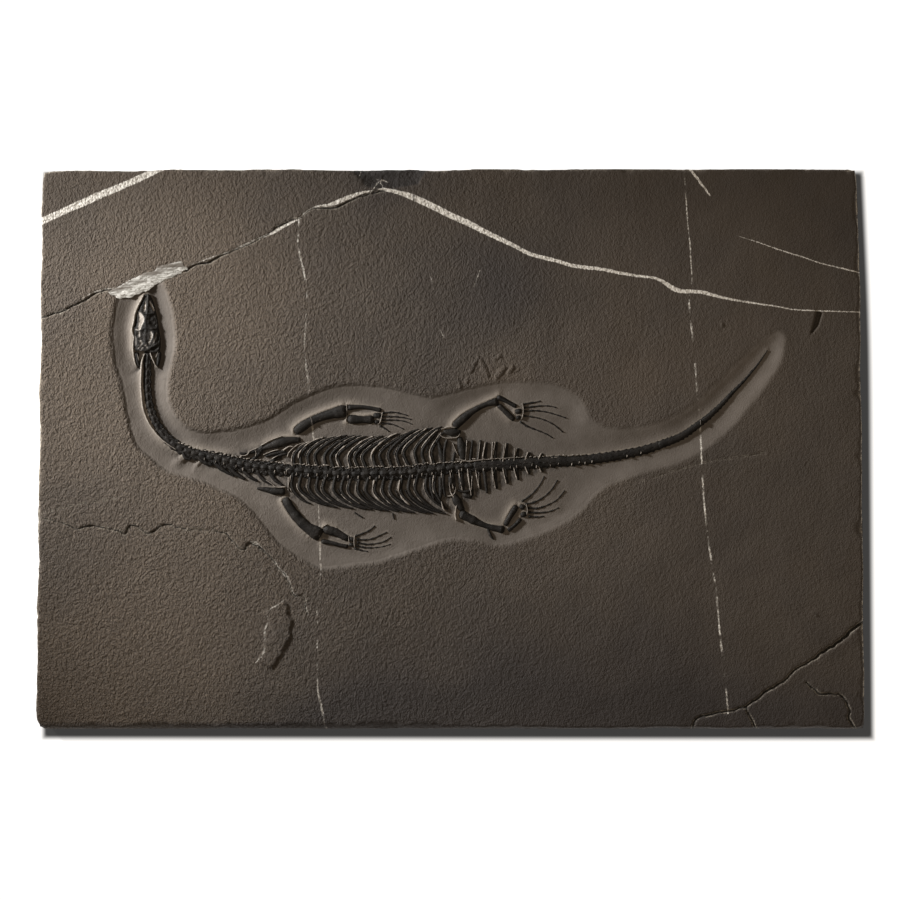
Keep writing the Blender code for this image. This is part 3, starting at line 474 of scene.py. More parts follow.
# %% Bones of the limbs
LIMB_BONES = {
    "right_clavicle": [(-71.0, 0.2, 0.8), (-67.6, 1.5, 1.5), (-64.0, 2.6, 1.8), (-60.6, 3.3, 1.5),
                       (-57.6, 3.5, 1.1)],
    "right_scapula": [(-69.8, -2.7, 0.5), (-67.4, -1.9, 0.8), (-65.2, -1.4, 0.7),
                      (-62.7, -0.9, 0.5)],
    "right_neck_plate": [(-76.8, -1.8, 0.4), (-75.0, -1.0, 0.8), (-73.2, -0.6, 1.0),
                         (-71.7, -0.7, 0.9)],
    "left_clavicle": [(-73.0, -15.0, 0.5), (-70.0, -15.4, 1.0), (-67.0, -16.0, 1.4),
                      (-63.6, -16.2, 1.3)],
    "right_ilium": [(-1.8, 6.6, 0.9), (0.2, 6.4, 1.6), (1.8, 6.4, 1.5), (3.4, 6.5, 0.9)],
    "right_ischium": [(3.8, 3.6, 1.2), (4.4, 0.8, 1.8), (5.0, -3.2, 1.3)],
    "left_ilium": [(1.2, -17.2, 0.9), (2.8, -20.0, 1.7), (4.4, -22.8, 1.2)],
    "right_humerus": [(-58.0, 7.1, 1.7), (-55.6, 8.9, 1.85), (-52.6, 10.7, 1.7),
                      (-49.0, 12.2, 1.75), (-45.0, 13.4, 1.95), (-41.0, 14.3, 2.5)],
    "right_radius": [(-38.2, 15.8, 1.15), (-34.0, 16.0, 0.8), (-30.4, 15.6, 0.75),
                     (-26.8, 14.8, 0.95)],
    "right_ulna": [(-37.6, 11.3, 1.8), (-34.6, 11.2, 1.55), (-32.0, 11.2, 1.55),
                   (-30.2, 11.2, 1.75)],
    "right_outer_wrist": [(-28.2, 12.8, 1.15), (-27.0, 12.7, 1.15)],
    "right_inner_wrist": [(-28.2, 10.3, 0.85), (-27.6, 10.2, 0.85)],
    "left_humerus": [(-62.3, -19.8, 1.7), (-60.3, -23.2, 1.85), (-57.5, -26.7, 1.95),
                     (-54.2, -29.8, 2.2), (-50.8, -31.9, 2.75)],
    "left_ulna": [(-46.8, -30.7, 1.8), (-43.6, -31.6, 1.75), (-41.2, -32.9, 1.45),
                  (-39.3, -33.8, 1.3)],
    "left_radius": [(-48.2, -35.1, 0.95), (-45.0, -35.7, 0.8), (-42.0, -36.5, 0.75),
                    (-39.3, -37.0, 0.85)],
    "left_outer_wrist": [(-37.7, -34.2, 0.9), (-37.1, -34.4, 0.9)],
    "left_inner_wrist": [(-37.8, -36.3, 0.8), (-37.2, -36.4, 0.8)],
    "right_femur": [(2.3, 9.2, 1.6), (5.0, 11.6, 1.75), (8.0, 14.0, 1.25), (11.5, 16.0, 1.05),
                    (14.6, 17.3, 1.15), (17.2, 17.9, 1.6)],
    "right_tibia": [(18.7, 19.5, 1.1), (21.0, 18.4, 0.85), (23.0, 17.3, 0.8), (24.7, 16.4, 0.85)],
    "right_fibula": [(18.9, 16.3, 1.0), (20.8, 14.5, 1.05), (22.4, 12.9, 1.15),
                     (23.8, 11.6, 1.1)],
    "right_outer_ankle": [(25.6, 14.3, 1.1), (26.4, 14.4, 1.1)],
    "right_inner_ankle": [(25.7, 11.9, 0.85), (26.3, 12.0, 0.85)],
    "left_femur": [(4.9, -25.0, 1.8), (8.3, -26.8, 1.7), (11.5, -28.3, 1.2), (15.0, -29.6, 1.1),
                   (19.6, -30.6, 1.5)],
    "left_tibia": [(21.3, -28.4, 1.0), (22.7, -25.8, 1.15), (24.1, -23.6, 1.2),
                   (24.9, -22.2, 1.1)],
    "left_fibula": [(22.6, -30.6, 0.9), (24.7, -28.9, 0.8), (26.5, -27.0, 0.85)],
    "left_outer_ankle": [(27.2, -21.9, 1.05), (27.7, -22.1, 1.05)],
    "left_inner_ankle": [(27.6, -25.0, 1.05), (28.2, -24.8, 1.05)],
}

# %% Lines of the fingers and toes
DIGITS = {
    "right_finger_1": [(-25.3, 13.7), (-21.6, 14.0), (-18.4, 13.4), (-16.1, 12.7)],
    "right_finger_2": [(-25.4, 12.3), (-21.2, 12.3), (-17.4, 11.9), (-14.7, 11.2)],
    "right_finger_3": [(-25.6, 11.0), (-21.2, 11.0), (-17.2, 10.5), (-14.4, 9.4)],
    "right_finger_4": [(-25.8, 9.8), (-22.4, 9.5), (-19.8, 8.6), (-17.6, 7.5)],
    "right_finger_5": [(-26.4, 8.7), (-24.6, 7.7), (-23.1, 6.6)],
    "left_finger_1": [(-35.6, -33.0), (-33.0, -32.0), (-30.8, -31.0), (-28.6, -29.2)],
    "left_finger_2": [(-35.1, -34.3), (-32.0, -34.5), (-28.8, -33.8), (-24.0, -31.6)],
    "left_finger_3": [(-35.0, -35.5), (-32.0, -36.2), (-28.6, -36.0), (-25.2, -35.2),
                      (-22.4, -33.4)],
    "left_finger_4": [(-35.4, -36.7), (-32.6, -37.4), (-29.0, -37.5), (-25.6, -37.1),
                      (-22.6, -36.2)],
    "left_finger_5": [(-36.0, -37.8), (-33.8, -38.5), (-31.2, -39.0)],
    "right_toe_1": [(28.4, 17.1), (30.5, 17.5), (32.5, 17.8), (34.4, 18.2)],
    "right_toe_2": [(28.4, 15.7), (31.4, 16.1), (35.0, 16.4), (38.0, 16.3), (40.4, 15.7)],
    "right_toe_3": [(28.4, 14.3), (32.0, 14.6), (36.0, 14.2), (40.2, 13.1), (44.0, 11.8)],
    "right_toe_4": [(28.4, 12.6), (32.0, 12.1), (35.4, 11.2), (39.2, 9.4), (42.9, 6.4)],
    "right_toe_5": [(26.9, 10.2), (29.6, 8.5), (33.0, 7.2), (36.6, 5.7), (39.0, 4.2)],
    "left_toe_1": [(27.6, -19.7), (30.0, -18.1), (32.4, -15.8), (34.4, -13.2), (35.8, -10.4)],
    "left_toe_2": [(29.0, -20.9), (32.0, -20.2), (35.4, -18.4), (38.6, -15.4), (40.8, -11.8)],
    "left_toe_3": [(30.0, -22.4), (33.2, -22.5), (37.0, -21.3), (40.6, -19.3), (43.6, -15.8)],
    "left_toe_4": [(30.2, -24.1), (34.0, -24.2), (38.0, -23.7), (41.4, -22.3)],
    "left_toe_5": [(30.2, -25.7), (33.0, -25.8), (35.6, -25.6)],
}
DIGIT_HALF = 0.58
print("bones of the limbs and girdles:", len(LIMB_BONES), "digits:", len(DIGITS))

# %% Neck, trunk and tail as lines
NECK = [
    (-114.9, 36.4, 1.4), (-115.2, 30.0, 1.5), (-115.3, 24.0, 1.6), (-114.7, 18.0, 1.7),
    (-113.2, 12.8, 1.7), (-110.8, 8.0, 1.8), (-107.4, 3.8, 1.9), (-103.0, 0.6, 2.0),
    (-98.0, -1.5, 2.1), (-93.0, -2.7, 2.3), (-87.0, -4.2, 2.5), (-80.0, -5.8, 2.6),
    (-72.0, -7.0, 2.6), (-63.1, -7.8, 2.6),
]
TRUNK = [
    (-62.6, -7.9, 2.5), (-50.0, -8.9, 2.6), (-38.0, -9.5, 2.6), (-19.0, -9.1, 2.6),
    (-4.0, -7.7, 2.5), (9.0, -6.4, 2.4),
]
TAIL = [
    (9.6, -6.4, 2.3), (24.0, -5.7, 2.3), (38.0, -4.9, 2.2), (50.0, -4.3, 1.9),
    (61.0, -2.9, 1.85), (72.2, -0.8, 1.7), (80.0, 1.6, 1.6), (88.0, 4.9, 1.4),
    (95.5, 10.1, 1.2), (101.5, 15.2, 1.0), (106.4, 20.4, 0.8), (112.1, 26.3, 0.52),
    (116.9, 32.1, 0.32), (120.6, 37.4, 0.14),
]
NECK_BONES, TRUNK_BONES, TAIL_BONES = 27, 20, (28, 30)
NECK_RIBS = [
    [(-101.6, -1.0, 0.8), (-100.6, -3.2, 0.8), (-98.9, -3.9, 0.5)],
    [(-96.2, -2.6, 0.8), (-94.0, -4.8, 0.8), (-90.6, -6.2, 0.4)],
    [(-90.0, -4.4, 0.8), (-87.0, -7.4, 0.9), (-82.4, -10.2, 0.4)],
    [(-84.6, -6.2, 0.8), (-81.4, -9.4, 0.9), (-78.2, -11.4, 0.5)],
    [(-79.0, -7.4, 0.8), (-76.6, -10.2, 0.8), (-73.4, -12.1, 0.5)],
    [(-73.6, -8.4, 0.8), (-71.2, -11.4, 0.8), (-67.9, -13.4, 0.5)],
    [(-68.6, -9.0, 0.8), (-66.4, -11.8, 0.8), (-63.9, -13.6, 0.5)],
    [(-76.0, -5.0, 0.8), (-74.0, -3.2, 0.7), (-72.4, -2.4, 0.4)],
    [(-69.0, -5.6, 0.8), (-66.6, -4.0, 0.7), (-64.2, -3.4, 0.4)],
]
print("vertebrae:", NECK_BONES + TRUNK_BONES + sum(TAIL_BONES))

# %% Stations of the ribs
# (rib number, bow to the front, tip's place)
UPPER_RIBS = [
    (0, 0.3, -53.0, 2.6), (1, 0.6, -46.5, 4.2), (3, 1.4, -39.4, 5.2), (6, 1.9, -31.4, 4.8),
    (9, 2.1, -21.8, 5.0), (12, 2.2, -11.4, 7.4), (15, 2.3, -4.0, 8.4), (17, 1.2, -2.2, 6.4),
    (18, 0.3, -1.6, 3.4),
]
LOWER_RIBS = [
    (0, 0.9, -52.0, -20.8), (2, 1.1, -42.4, -22.2), (5, 1.3, -32.6, -22.8),
    (8, 1.3, -23.0, -23.5), (11, 1.3, -13.0, -24.2), (14, 1.1, -2.6, -24.6),
    (17, 0.7, -1.4, -21.8), (18, 0.2, -2.4, -18.0),
]
RIB_PAIRS, FIRST_RIB_X, RIB_PITCH, RIB_HALF, SPINE_EDGE = 19, -59.4, 3.17, 0.68, 2.2
# Points of a rib: its share of the bow, of the sweep back, of the way out, and of the width.
RIB_COURSE = [(0.6, 0, 0.14, 1.0), (1, 0.02, 0.34, 1.05), (0.75, 0.10, 0.52, 1.0),
              (0.2, 0.27, 0.70, 0.95), (0, 0.50, 0.84, 0.85), (0, 0.77, 0.94, 0.7),
              (0, 1, 1, 0.45)]
RIB_ROOT = 1.2  # how far a rib reaches in under the backbone
# Hip and tail processes: (place along x, reach up, reach down).
TRUNK_PROCESSES = [(1.2, -1.6, -14.8), (4.6, -4.8, -15.6), (8.0, 3.0, -17.4)]
TAIL_PROCESSES = [
    (11.0, 3.0, -14.8), (13.4, 2.2, -16.4), (17.2, 2.4, -14.8), (21.3, 1.9, -12.8),
    (25.4, 0.0, -11.4), (29.6, -1.5, -9.2), (34.6, -2.0, -8.4),
]

# %% Skull and jaws as lines
SKULL = [
    (-115.2, 58.8, 0.8), (-115.1, 57.4, 1.7), (-115.1, 55.6, 2.5), (-115.3, 52.8, 3.4),
    (-115.4, 49.6, 4.2), (-115.5, 45.6, 4.8), (-115.2, 42.0, 5.1), (-115.1, 39.0, 5.1),
    (-115.3, 37.0, 4.6),
]
JAWS = {
    "left_jaw": [(-119.1, 36.0, 0.9), (-118.9, 33.8, 0.8), (-118.4, 31.6, 0.5)],
    "right_jaw": [(-110.6, 36.2, 0.9), (-110.8, 33.8, 0.8), (-111.3, 31.6, 0.5)],
}
print(f"skull: {SKULL[0][1] - SKULL[-1][1]:.0f} mm long")

# %% The way that a rib runs
def height_at(line, x):
    """How far up the plan a line runs at x."""
    line = np.asarray(line)
    return float(np.interp(x, line[:, 0], line[:, 1]))


def rib_line(stations, number, side):
    """One rib: it bows to the front beside the backbone, then sweeps back to its tip."""
    table = np.asarray(stations, float)
    bow, tip_x, tip_y = (np.interp(number, table[:, 0], table[:, column])
                         for column in (1, 2, 3))
    root_x = FIRST_RIB_X + number * RIB_PITCH
    spine_y = height_at(TRUNK, root_x)
    edge = spine_y + side * SPINE_EDGE
    rise, sweep = tip_y - edge, tip_x - root_x
    # Each rib differs a little from its neighbours, the same way on each run.
    bow *= 1 + 0.25 * math.sin(number * 2.3 + side)
    root_x += 0.28 * math.sin(number * 1.7 + 2 * side)
    sweep += 0.9 * math.sin(number * 2.9 + side)
    root = (0, 0, -side * RIB_ROOT / rise, 1.0)
    return [(root_x - bow * bend + sweep * back, edge + out * rise, RIB_HALF * wide)
            for bend, back, out, wide in [root, *RIB_COURSE]]


RIBS = [rib_line(stations, number, side) for number in range(RIB_PAIRS)
        for stations, side in ((UPPER_RIBS, 1), (LOWER_RIBS, -1))]
PROCESSES = []
for stations, spine in ((TRUNK_PROCESSES, TRUNK), (TAIL_PROCESSES, TAIL)):
    for x, top, bottom in stations:
        middle = height_at(spine, x)
        for end, lean in ((top, 0.5), (bottom, 0.6)):
            PROCESSES.append([(x - lean, middle, 0.8), (x, (middle + end) / 2, 0.75),
                              (x + lean, end, 0.5)])
print("ribs", len(RIBS), "processes", len(PROCESSES))

# %% [markdown]
# ## How the trough and the cracks shape the rock
#
# The tool leaves a scoop: it falls away from the rim, runs level, and climbs again to the foot
# of the bone, where a thin collar of rock stays. That is a curve of two distances, from the rim
# and from the nearest bone, so the slab's face can be computed at any place. Cracks, chips and
# scraps are then added to that height one by one.

# %% The bones as lines that the rock follows
ALL_LINES = [*LIMB_BONES.values(), *RIBS, *PROCESSES, *NECK_RIBS, *JAWS.values(), NECK, TRUNK,
             TAIL, SKULL]
ALL_LINES += [[(x, y, DIGIT_HALF * 0.8) for x, y in line] for line in DIGITS.values()]
ALL_LINES = [smooth_line(line, 1.5) for line in ALL_LINES]
BONE_REACH = 18.0  # a bone farther off than this doesn't count


def bone_gap(x, y, reach=BONE_REACH):
    """Distance to the edge of the nearest bone, negative inside it, its width and its way."""
    gap, width, way = np.full(x.shape, float(reach)), np.zeros(x.shape), np.zeros(x.shape)
    for line in ALL_LINES:
        near = np.flatnonzero((x > line[:, 0].min() - reach) & (x < line[:, 0].max() + reach)
                              & (y > line[:, 1].min() - reach) & (y < line[:, 1].max() + reach))
        if not len(near):
            continue
        found, _, _, half, ahead = nearest_on_line(x[near], y[near], line, reach)
        closer = found < gap[near]
        gap[near[closer]] = found[closer]
        width[near[closer]] = half[closer]
        way[near[closer]] = ahead[closer]
    return gap, width, way


# %% Depth of the trough
TROUGH_LINE = smooth_line([*TROUGH, TROUGH[0]], 2.0)[:-1]
TROUGH_DEPTH, DEEPER_AT_HEAD = 0.85, 0.6
SHALLOWER_AT_DIGITS, SHALLOWER_AT_NECK = 0.3, 0.8
BED_DEPTH = 0.7  # how far below the face the foot of a bone lies
SCOOP_SPAN = 5.0  # where less than this lies between the rim and a bone, the trough is shallower
SCOOP_WALL, SCOOP_LEVEL = 0.32, 0.82  # shares of the way where the wall ends and the level starts
HANDS_AND_FEET = [(-21, 10), (-28, -35), (36, 13), (37, -19)]


def scoop_scale(span):
    return np.clip(span / SCOOP_SPAN, 0.3, 1.0)


def scoop_depth(x, y, lit):
    """How deep the trough is: deepest by the head, shallow at the hands and left of the neck."""
    depth = TROUGH_DEPTH + DEEPER_AT_HEAD * soft_step(-x, 66, 92)
    for px, py in HANDS_AND_FEET:
        depth = depth - SHALLOWER_AT_DIGITS * np.exp(-((x - px) ** 2 + (y - py) ** 2) / 100)
    by_the_neck = soft_step(-x, 88, 98) * (1 - soft_step(y, 22, 36))
    return depth - SHALLOWER_AT_NECK * lit * by_the_neck


def scooped(share):
    """Part of the depth reached at a share of the way: an even wall, then a slow turn to level."""
    kept = np.clip(share, 0, SCOOP_LEVEL)
    past = np.maximum(kept - SCOOP_WALL, 0)
    turn = SCOOP_LEVEL - SCOOP_WALL
    return (kept - past ** 2 / (2 * turn)) / (SCOOP_LEVEL - turn / 2)


def bed_level(x, y):
    """Height of the rock at the foot of a bone."""
    rim = np.maximum(inside_outline(x, y, TROUGH_LINE), 0)
    return FACE - BED_DEPTH * scoop_scale(rim)


print("points round the trough:", len(TROUGH_LINE))

# %% Rock of the trough
BANK_WIDE, BANK_CURVE = 3.6, 2.2
COLLAR_HIGH, COLLAR_WIDE = 0.22, 0.7
LESS_IN_STAIN = 0.9


def by_the_tail(x, y):
    """1 round the hind part of the tail, where the tool has left less rock against the bone."""
    return soft_step(x, 12, 40) * soft_step(-np.abs(y - 12), -22, -16)


def trough_face(x, y):
    """Height of the rock before any damage, and what its material has to know."""
    rim = inside_outline(x, y, TROUGH_LINE)
    gap, width, way = bone_gap(x, y)
    out, inner = np.maximum(gap, 0), np.maximum(rim - 0.5, 0)
    scale = scoop_scale(inner + out)
    lit = soft_step(way, -0.2, 0.6)
    depth = scoop_depth(x, y, lit) * scale
    z = FACE - depth * scooped(inner / np.maximum(inner + out, 1e-6))

    # Rock banks up to the lit side of a thick bone, less where it is stained, never under a bone.
    stain = soft_step(inside_outline(x, y, STAIN), -1.2, 0.8)
    beneath = soft_step(-gap, 0, 0.4)
    kept = (1 - LESS_IN_STAIN * stain) * (1 - beneath)
    high = (depth - 0.35 * scale) * lit * soft_step(width, 0.65, 1.3)
    high *= 1 - 0.7 * by_the_tail(x, y)
    bank = np.clip(1 - out / BANK_WIDE, 0, 1) ** BANK_CURVE
    z += high * bank * soft_step(inner, 0, 1.5) * kept

    # Low waves run over the whole face, and are stronger outside the trough.
    outside = soft_step(-rim, -1, 2)
    z += 0.10 * clouds(x, y, 14, 11, 2) + (0.03 + 0.05 * outside) * clouds(x, y, 5.5, 21, 2)
    z += 0.035 * clouds(x * 0.9 - y * 0.3, y * 0.5 + x * 0.1, 2.4, 31) * outside

    # A thin collar of rock stays right at the bone.
    collar = COLLAR_HIGH * lit * soft_step(width, 0.7, 1.6) * (1 - 0.8 * soft_step(x, 12, 40))
    ragged = 0.75 + 0.35 * clouds(x, y, 1.6, 41)
    collar *= kept * ragged * np.clip(1 - out / COLLAR_WIDE, 0, 1) ** 1.5
    z += np.where(rim > 0, collar, 0)
    return z, {"rim": rim, "bone": gap, "lit": lit, "width": width, "stain": stain}


# %% Cracks
CRACK_REACH = 4.9  # a crack shapes the rock no farther off than this
STEP_WIDE = 4.5
FAINT_CRACKS = {"tail_line": 0.5, "hairline": 0.6}  # how strong these are, the others being 1
LIP_SHARE = {"low": 0.3, "hairline": 0.2, "tail_line": 0.0, "corner_side": 0.8}
CRACK_LINES = {name: smooth_line(points, 0.9) for name, points in CRACKS.items()}
for number, (name, line) in enumerate(CRACK_LINES.items()):
    wobble = 0.16 if name in FAINT_CRACKS else 0.36
    for column in (0, 1):
        line[:, column] += wobble * clouds(line[:, 0], line[:, 1], 1.9,
                                           55 + 3 * number + column, 2)


def crack_relief(x, y):
    """What the cracks add to the height, how deep in one each place is, and how bright its lips."""
    z, cut, lips = np.zeros(x.shape), np.zeros(x.shape), np.ones(x.shape)
    for name, line in CRACK_LINES.items():
        gap, side, along = nearest_on_line(x, y, line[:, :2], 5.0)[:3]
        run = run_along(line)
        half, step = (np.interp(along, run, line[:, column]) for column in (2, 3))
        ragged = 1 + 0.5 * clouds(along * 1.3, len(name), 1.7, 51, 2)
        near = gap < CRACK_REACH
        fade = np.clip(1 - gap / STEP_WIDE, 0, 1) * soft_step(gap, 0, 0.35)
        groove = np.clip(1 - gap / (half + 0.25), 0, 1) * FAINT_CRACKS.get(name, 1.0)
        change = 0.5 * side * step * fade - groove * (0.2 + half * 2.6)
        z += np.where(near, change * ragged, 0)
        lips[near & (groove > cut)] = LIP_SHARE.get(name, 1.0)
        cut = np.maximum(cut, groove)
    return z, cut, lips


print("cracks:", ", ".join(CRACK_LINES))

# %% Flake, scraps, seam bed, chip and slot
FLAKE_HIGH, SCRAP_HIGH = 0.68, 0.34
SEAM_BED, SLOT_DEEP = 0.5, 1.8
CHIP_DEEP, CHIP_STEP = 1.1, 0.3


def breakage(x, y):
    """What the other damage adds to the height, and the distance inside the chip at the top."""
    flake = inside_outline(x, y, FLAKE) + 0.8 * clouds(x, y, 1.9, 61, 2)
    z = FLAKE_HIGH * soft_step(flake, -0.1, 0.2) * (0.85 + 0.25 * clouds(x, y, 3, 63))
    frayed = 0.3 * clouds(x, y, 1.3, 67)
    for scrap in SCRAPS:
        z += SCRAP_HIGH * soft_step(-nearest_on_line(x, y, scrap, 3.0)[0] - frayed, -0.15, 0.2)
    z -= SEAM_BED * soft_step(inside_outline(x, y, SEAM), -0.3, 0.5)
    chip = inside_outline(x, y, CHIP) + 0.8 * clouds(x, y, 4, 71, 2)
    terraces = np.abs(np.round(2 * clouds(x + y, y * 1.6, 4, 73, 2)) / 2)
    z -= CHIP_DEEP * soft_step(chip, 0, 4.5)
    z -= CHIP_STEP * soft_step(chip, 0, 0.5) * (1 + terraces)
    z -= SLOT_DEEP * soft_step(inside_outline(x, y, SLOT), -0.35, 0.35)
    return z, chip


def rock_face(x, y):
    """Height of the slab's face and what its material has to know, at each place."""
    z, readings = trough_face(x, y)
    cracks, readings["crack"], readings["lips"] = crack_relief(x, y)
    damage, readings["chip"] = breakage(x, y)
    return np.minimum(z + cracks + damage, TOP), readings


# %% [markdown]
# ## The slab's mesh
#
# A grid covers the whole face. It has to be fine where there is something to show and may be
# coarse elsewhere, so two rounds of subdivision split only the squares near the trough, then
# those near a bone, a crack or the broken edge. After that every vertex is lifted to the height
# that the functions above give, and the sides are drawn down from the rim in rough layers.

# %% Plan of the face
SLAB_LONG, SLAB_WIDE = 312.0, 212.0  # before its edges are broken
FACE_LIMITS = (157.4, 106.4)  # the face stays inside these, and the sides inside the next ones
SIDE_LIMITS = (157.45, 106.45)
CORNER_WEAR = ((0, 0, 1.5), (1, 0, 0.9), (0, 1, 0.5), (1, 1, 0.5))  # corner, and how far it is worn


def edge_at(line, value, by):
    """A broken edge read as x at a height, or as y at a place along."""
    x, y = np.transpose(line)
    return np.interp(value, y, x) if by == "y" else np.interp(value, x, y)


def plan_point(u, v):
    """A place on the slab from shares of its length and width, with ragged edges."""
    flat_x, flat_y = -SLAB_LONG / 2 + SLAB_LONG * u, -SLAB_WIDE / 2 + SLAB_WIDE * v
    left, right = edge_at(LEFT_EDGE, flat_y, "y"), edge_at(RIGHT_EDGE, flat_y, "y") + 0.4
    low, high = edge_at(BOTTOM_EDGE, flat_x, "x"), edge_at(TOP_EDGE, flat_x, "x")
    left = left + 0.26 * clouds(flat_y, 3, 6.0, 81, 3)
    right = right + 0.09 * clouds(flat_y, 9, 7, 83, 3)
    low = low - 0.2 + 0.24 * clouds(flat_x, 15, 6.0, 85, 3)
    high = high + 0.10 * clouds(flat_x, 21, 5.0, 87, 2)
    x, y = left + (right - left) * u, low + (high - low) * v
    for corner_u, corner_v, pull in CORNER_WEAR:
        away = np.hypot((u - corner_u) * SLAB_LONG, (v - corner_v) * SLAB_WIDE)
        close = pull * np.exp(-(away / 2.6) ** 2)
        x, y = x + close * (1 - 2 * corner_u), y + 0.6 * close * (1 - 2 * corner_v)
    limit_x, limit_y = FACE_LIMITS
    return np.clip(x, -limit_x, limit_x), np.clip(y, -limit_y, limit_y)


def edge_gaps(u, v):
    """Rough distances to the slab's ends and to its long sides in millimetres."""
    return np.minimum(u, 1 - u) * SLAB_LONG, np.minimum(v, 1 - v) * SLAB_WIDE


# %% Grid of the face
COARSE = 2.0
# Each round splits the squares that lie this far inside the rim and this near to a bone (99 is
# anywhere), and those this near to a crack or to the slab's edge, all in millimetres.
SPLIT_ROUNDS = ((-1.6, 99, 3.2, 3.4), (-9, 1.7, 1.3, 2.4))


def face_grid():
    """The face's plan as shares u and v, split where detail is needed."""
    bm = bmesh.new()
    columns, rows = int(SLAB_LONG / COARSE), int(SLAB_WIDE / COARSE)
    bmesh.ops.create_grid(bm, x_segments=columns, y_segments=rows, size=0.5)
    bmesh.ops.translate(bm, verts=bm.verts, vec=(0.5, 0.5, 0))
    for inside_rim, near_bone, near_crack, near_edge in SPLIT_ROUNDS:
        faces = list(bm.faces)
        u, v = np.array([tuple(face.calc_center_median())[:2] for face in faces]).T
        x, y = plan_point(u, v)
        wanted = inside_outline(x, y, TROUGH_LINE) > inside_rim
        wanted &= bone_gap(x, y, 5.0)[0] < near_bone
        for line in CRACK_LINES.values():
            wanted |= nearest_on_line(x, y, line[:, :2], 6.0)[0] < near_crack
        for outline in (FLAKE, CHIP, SLOT):
            wanted |= np.abs(inside_outline(x, y, outline)) < near_crack
        for scrap in SCRAPS:
            wanted |= nearest_on_line(x, y, scrap, 4.0)[0] < 0.8 * near_crack
        wanted |= np.minimum(*edge_gaps(u, v)) < near_edge
        edges = {edge for face, keep in zip(faces, wanted) if keep for edge in face.edges}
        bmesh.ops.subdivide_edges(bm, edges=list(edges), cuts=1, use_grid_fill=True)
        print("face of the slab:", len(bm.faces), "faces")
    return bm


# %% Lift the face
BROKEN_EDGE = 2.4  # how far in from the rim the rock is broken away, at most


def lift_face(bm):
    """Move the flat grid to its place and height, and break away its edge."""
    u, v = np.array([tuple(vertex.co)[:2] for vertex in bm.verts]).T
    x, y = plan_point(u, v)
    z, readings = rock_face(x, y)
    to_end, to_side = edge_gaps(u, v)
    around = np.where(to_end < to_side, y, x)
    bite = np.clip(0.42 + 0.5 * clouds(around, x * 0.02 + y * 0.02, 5.2, 91, 3), 0.05, 1)
    worn = np.clip(1 - np.minimum(to_end, to_side) / (0.5 + BROKEN_EDGE * bite ** 2), 0, 1)
    z = z - worn ** 1.4 * (0.25 + 1.1 * bite)
    low_rim = 0.7 + (0.5 + 2.0 * soft_step(-x, -40, 40)) * bite
    z = z - 1.7 * np.clip(1 - v * SLAB_WIDE / low_rim, 0, 1) ** 0.8
    for vertex, place in zip(bm.verts, np.stack([x, y, z], axis=1).tolist()):
        vertex.co = place
    return x, y, {**readings, "worn": worn}


# %% Draw the sides
SIDE_LEVELS = (16.4, 14.6, 12.4, 10.0, 7.4, 5.0, 2.6, 0.9, 0.0)


def rim_loop(bm):
    """The vertices round the face, in order."""
    start = next(edge for edge in bm.edges if edge.is_boundary)
    loop = [start.verts[0], start.verts[1]]
    while loop[-1] is not loop[0]:
        step = next(edge for edge in loop[-1].link_edges
                    if edge.is_boundary and edge.other_vert(loop[-1]) is not loop[-2])
        loop.append(step.other_vert(loop[-1]))
    return loop[:-1]


def draw_sides(bm):
    """Rough layers from the rim down to the flat underside."""
    above = rim_loop(bm)
    plan = np.array([tuple(vertex.co) for vertex in above])
    ahead = np.roll(plan, -2, axis=0) - np.roll(plan, 2, axis=0)
    outward = np.stack([ahead[:, 1], -ahead[:, 0]], axis=1)
    outward /= np.linalg.norm(outward, axis=1, keepdims=True)
    if (outward * plan[:, :2]).sum() < 0:
        outward = -outward
    run = run_along(plan)
    for level in SIDE_LEVELS:
        layer = (0.9 * clouds(run, level * 0.4, 9, 101, 2)
                 + 0.35 * clouds(run, level, 2.2, 111, 2))
        push = 0.35 - 0.07 * (FACE - level) - 0.45 * np.abs(layer)
        places = np.clip(plan[:, :2] + outward * push[:, None], -np.array(SIDE_LIMITS),
                         SIDE_LIMITS)
        height = np.minimum(plan[:, 2] - 0.5, level) if level else np.zeros(len(run))
        ring = [bm.verts.new(place) for place in np.column_stack([places, height]).tolist()]
        for number, vertex in enumerate(above):
            after = (number + 1) % len(above)
            bm.faces.new((vertex, above[after], ring[after], ring[number]))
        above = ring
    bm.faces.new(above)


def build_slab(name):
    bm = face_grid()
    x, y, readings = lift_face(bm)
    draw_sides(bm)
    bmesh.ops.recalc_face_normals(bm, faces=bm.faces)
    bmesh.ops.scale(bm, vec=(MM, MM, MM), verts=bm.verts)
    mesh = bpy.data.meshes.new(name)
    bm.to_mesh(mesh)
    bm.free()
    mesh.shade_smooth()
    return mesh, x, y, readings


slab_mesh, slab_x, slab_y, slab_readings = build_slab("carved_slab")
print("slab triangles:", sum(len(face.vertices) - 2 for face in slab_mesh.polygons))
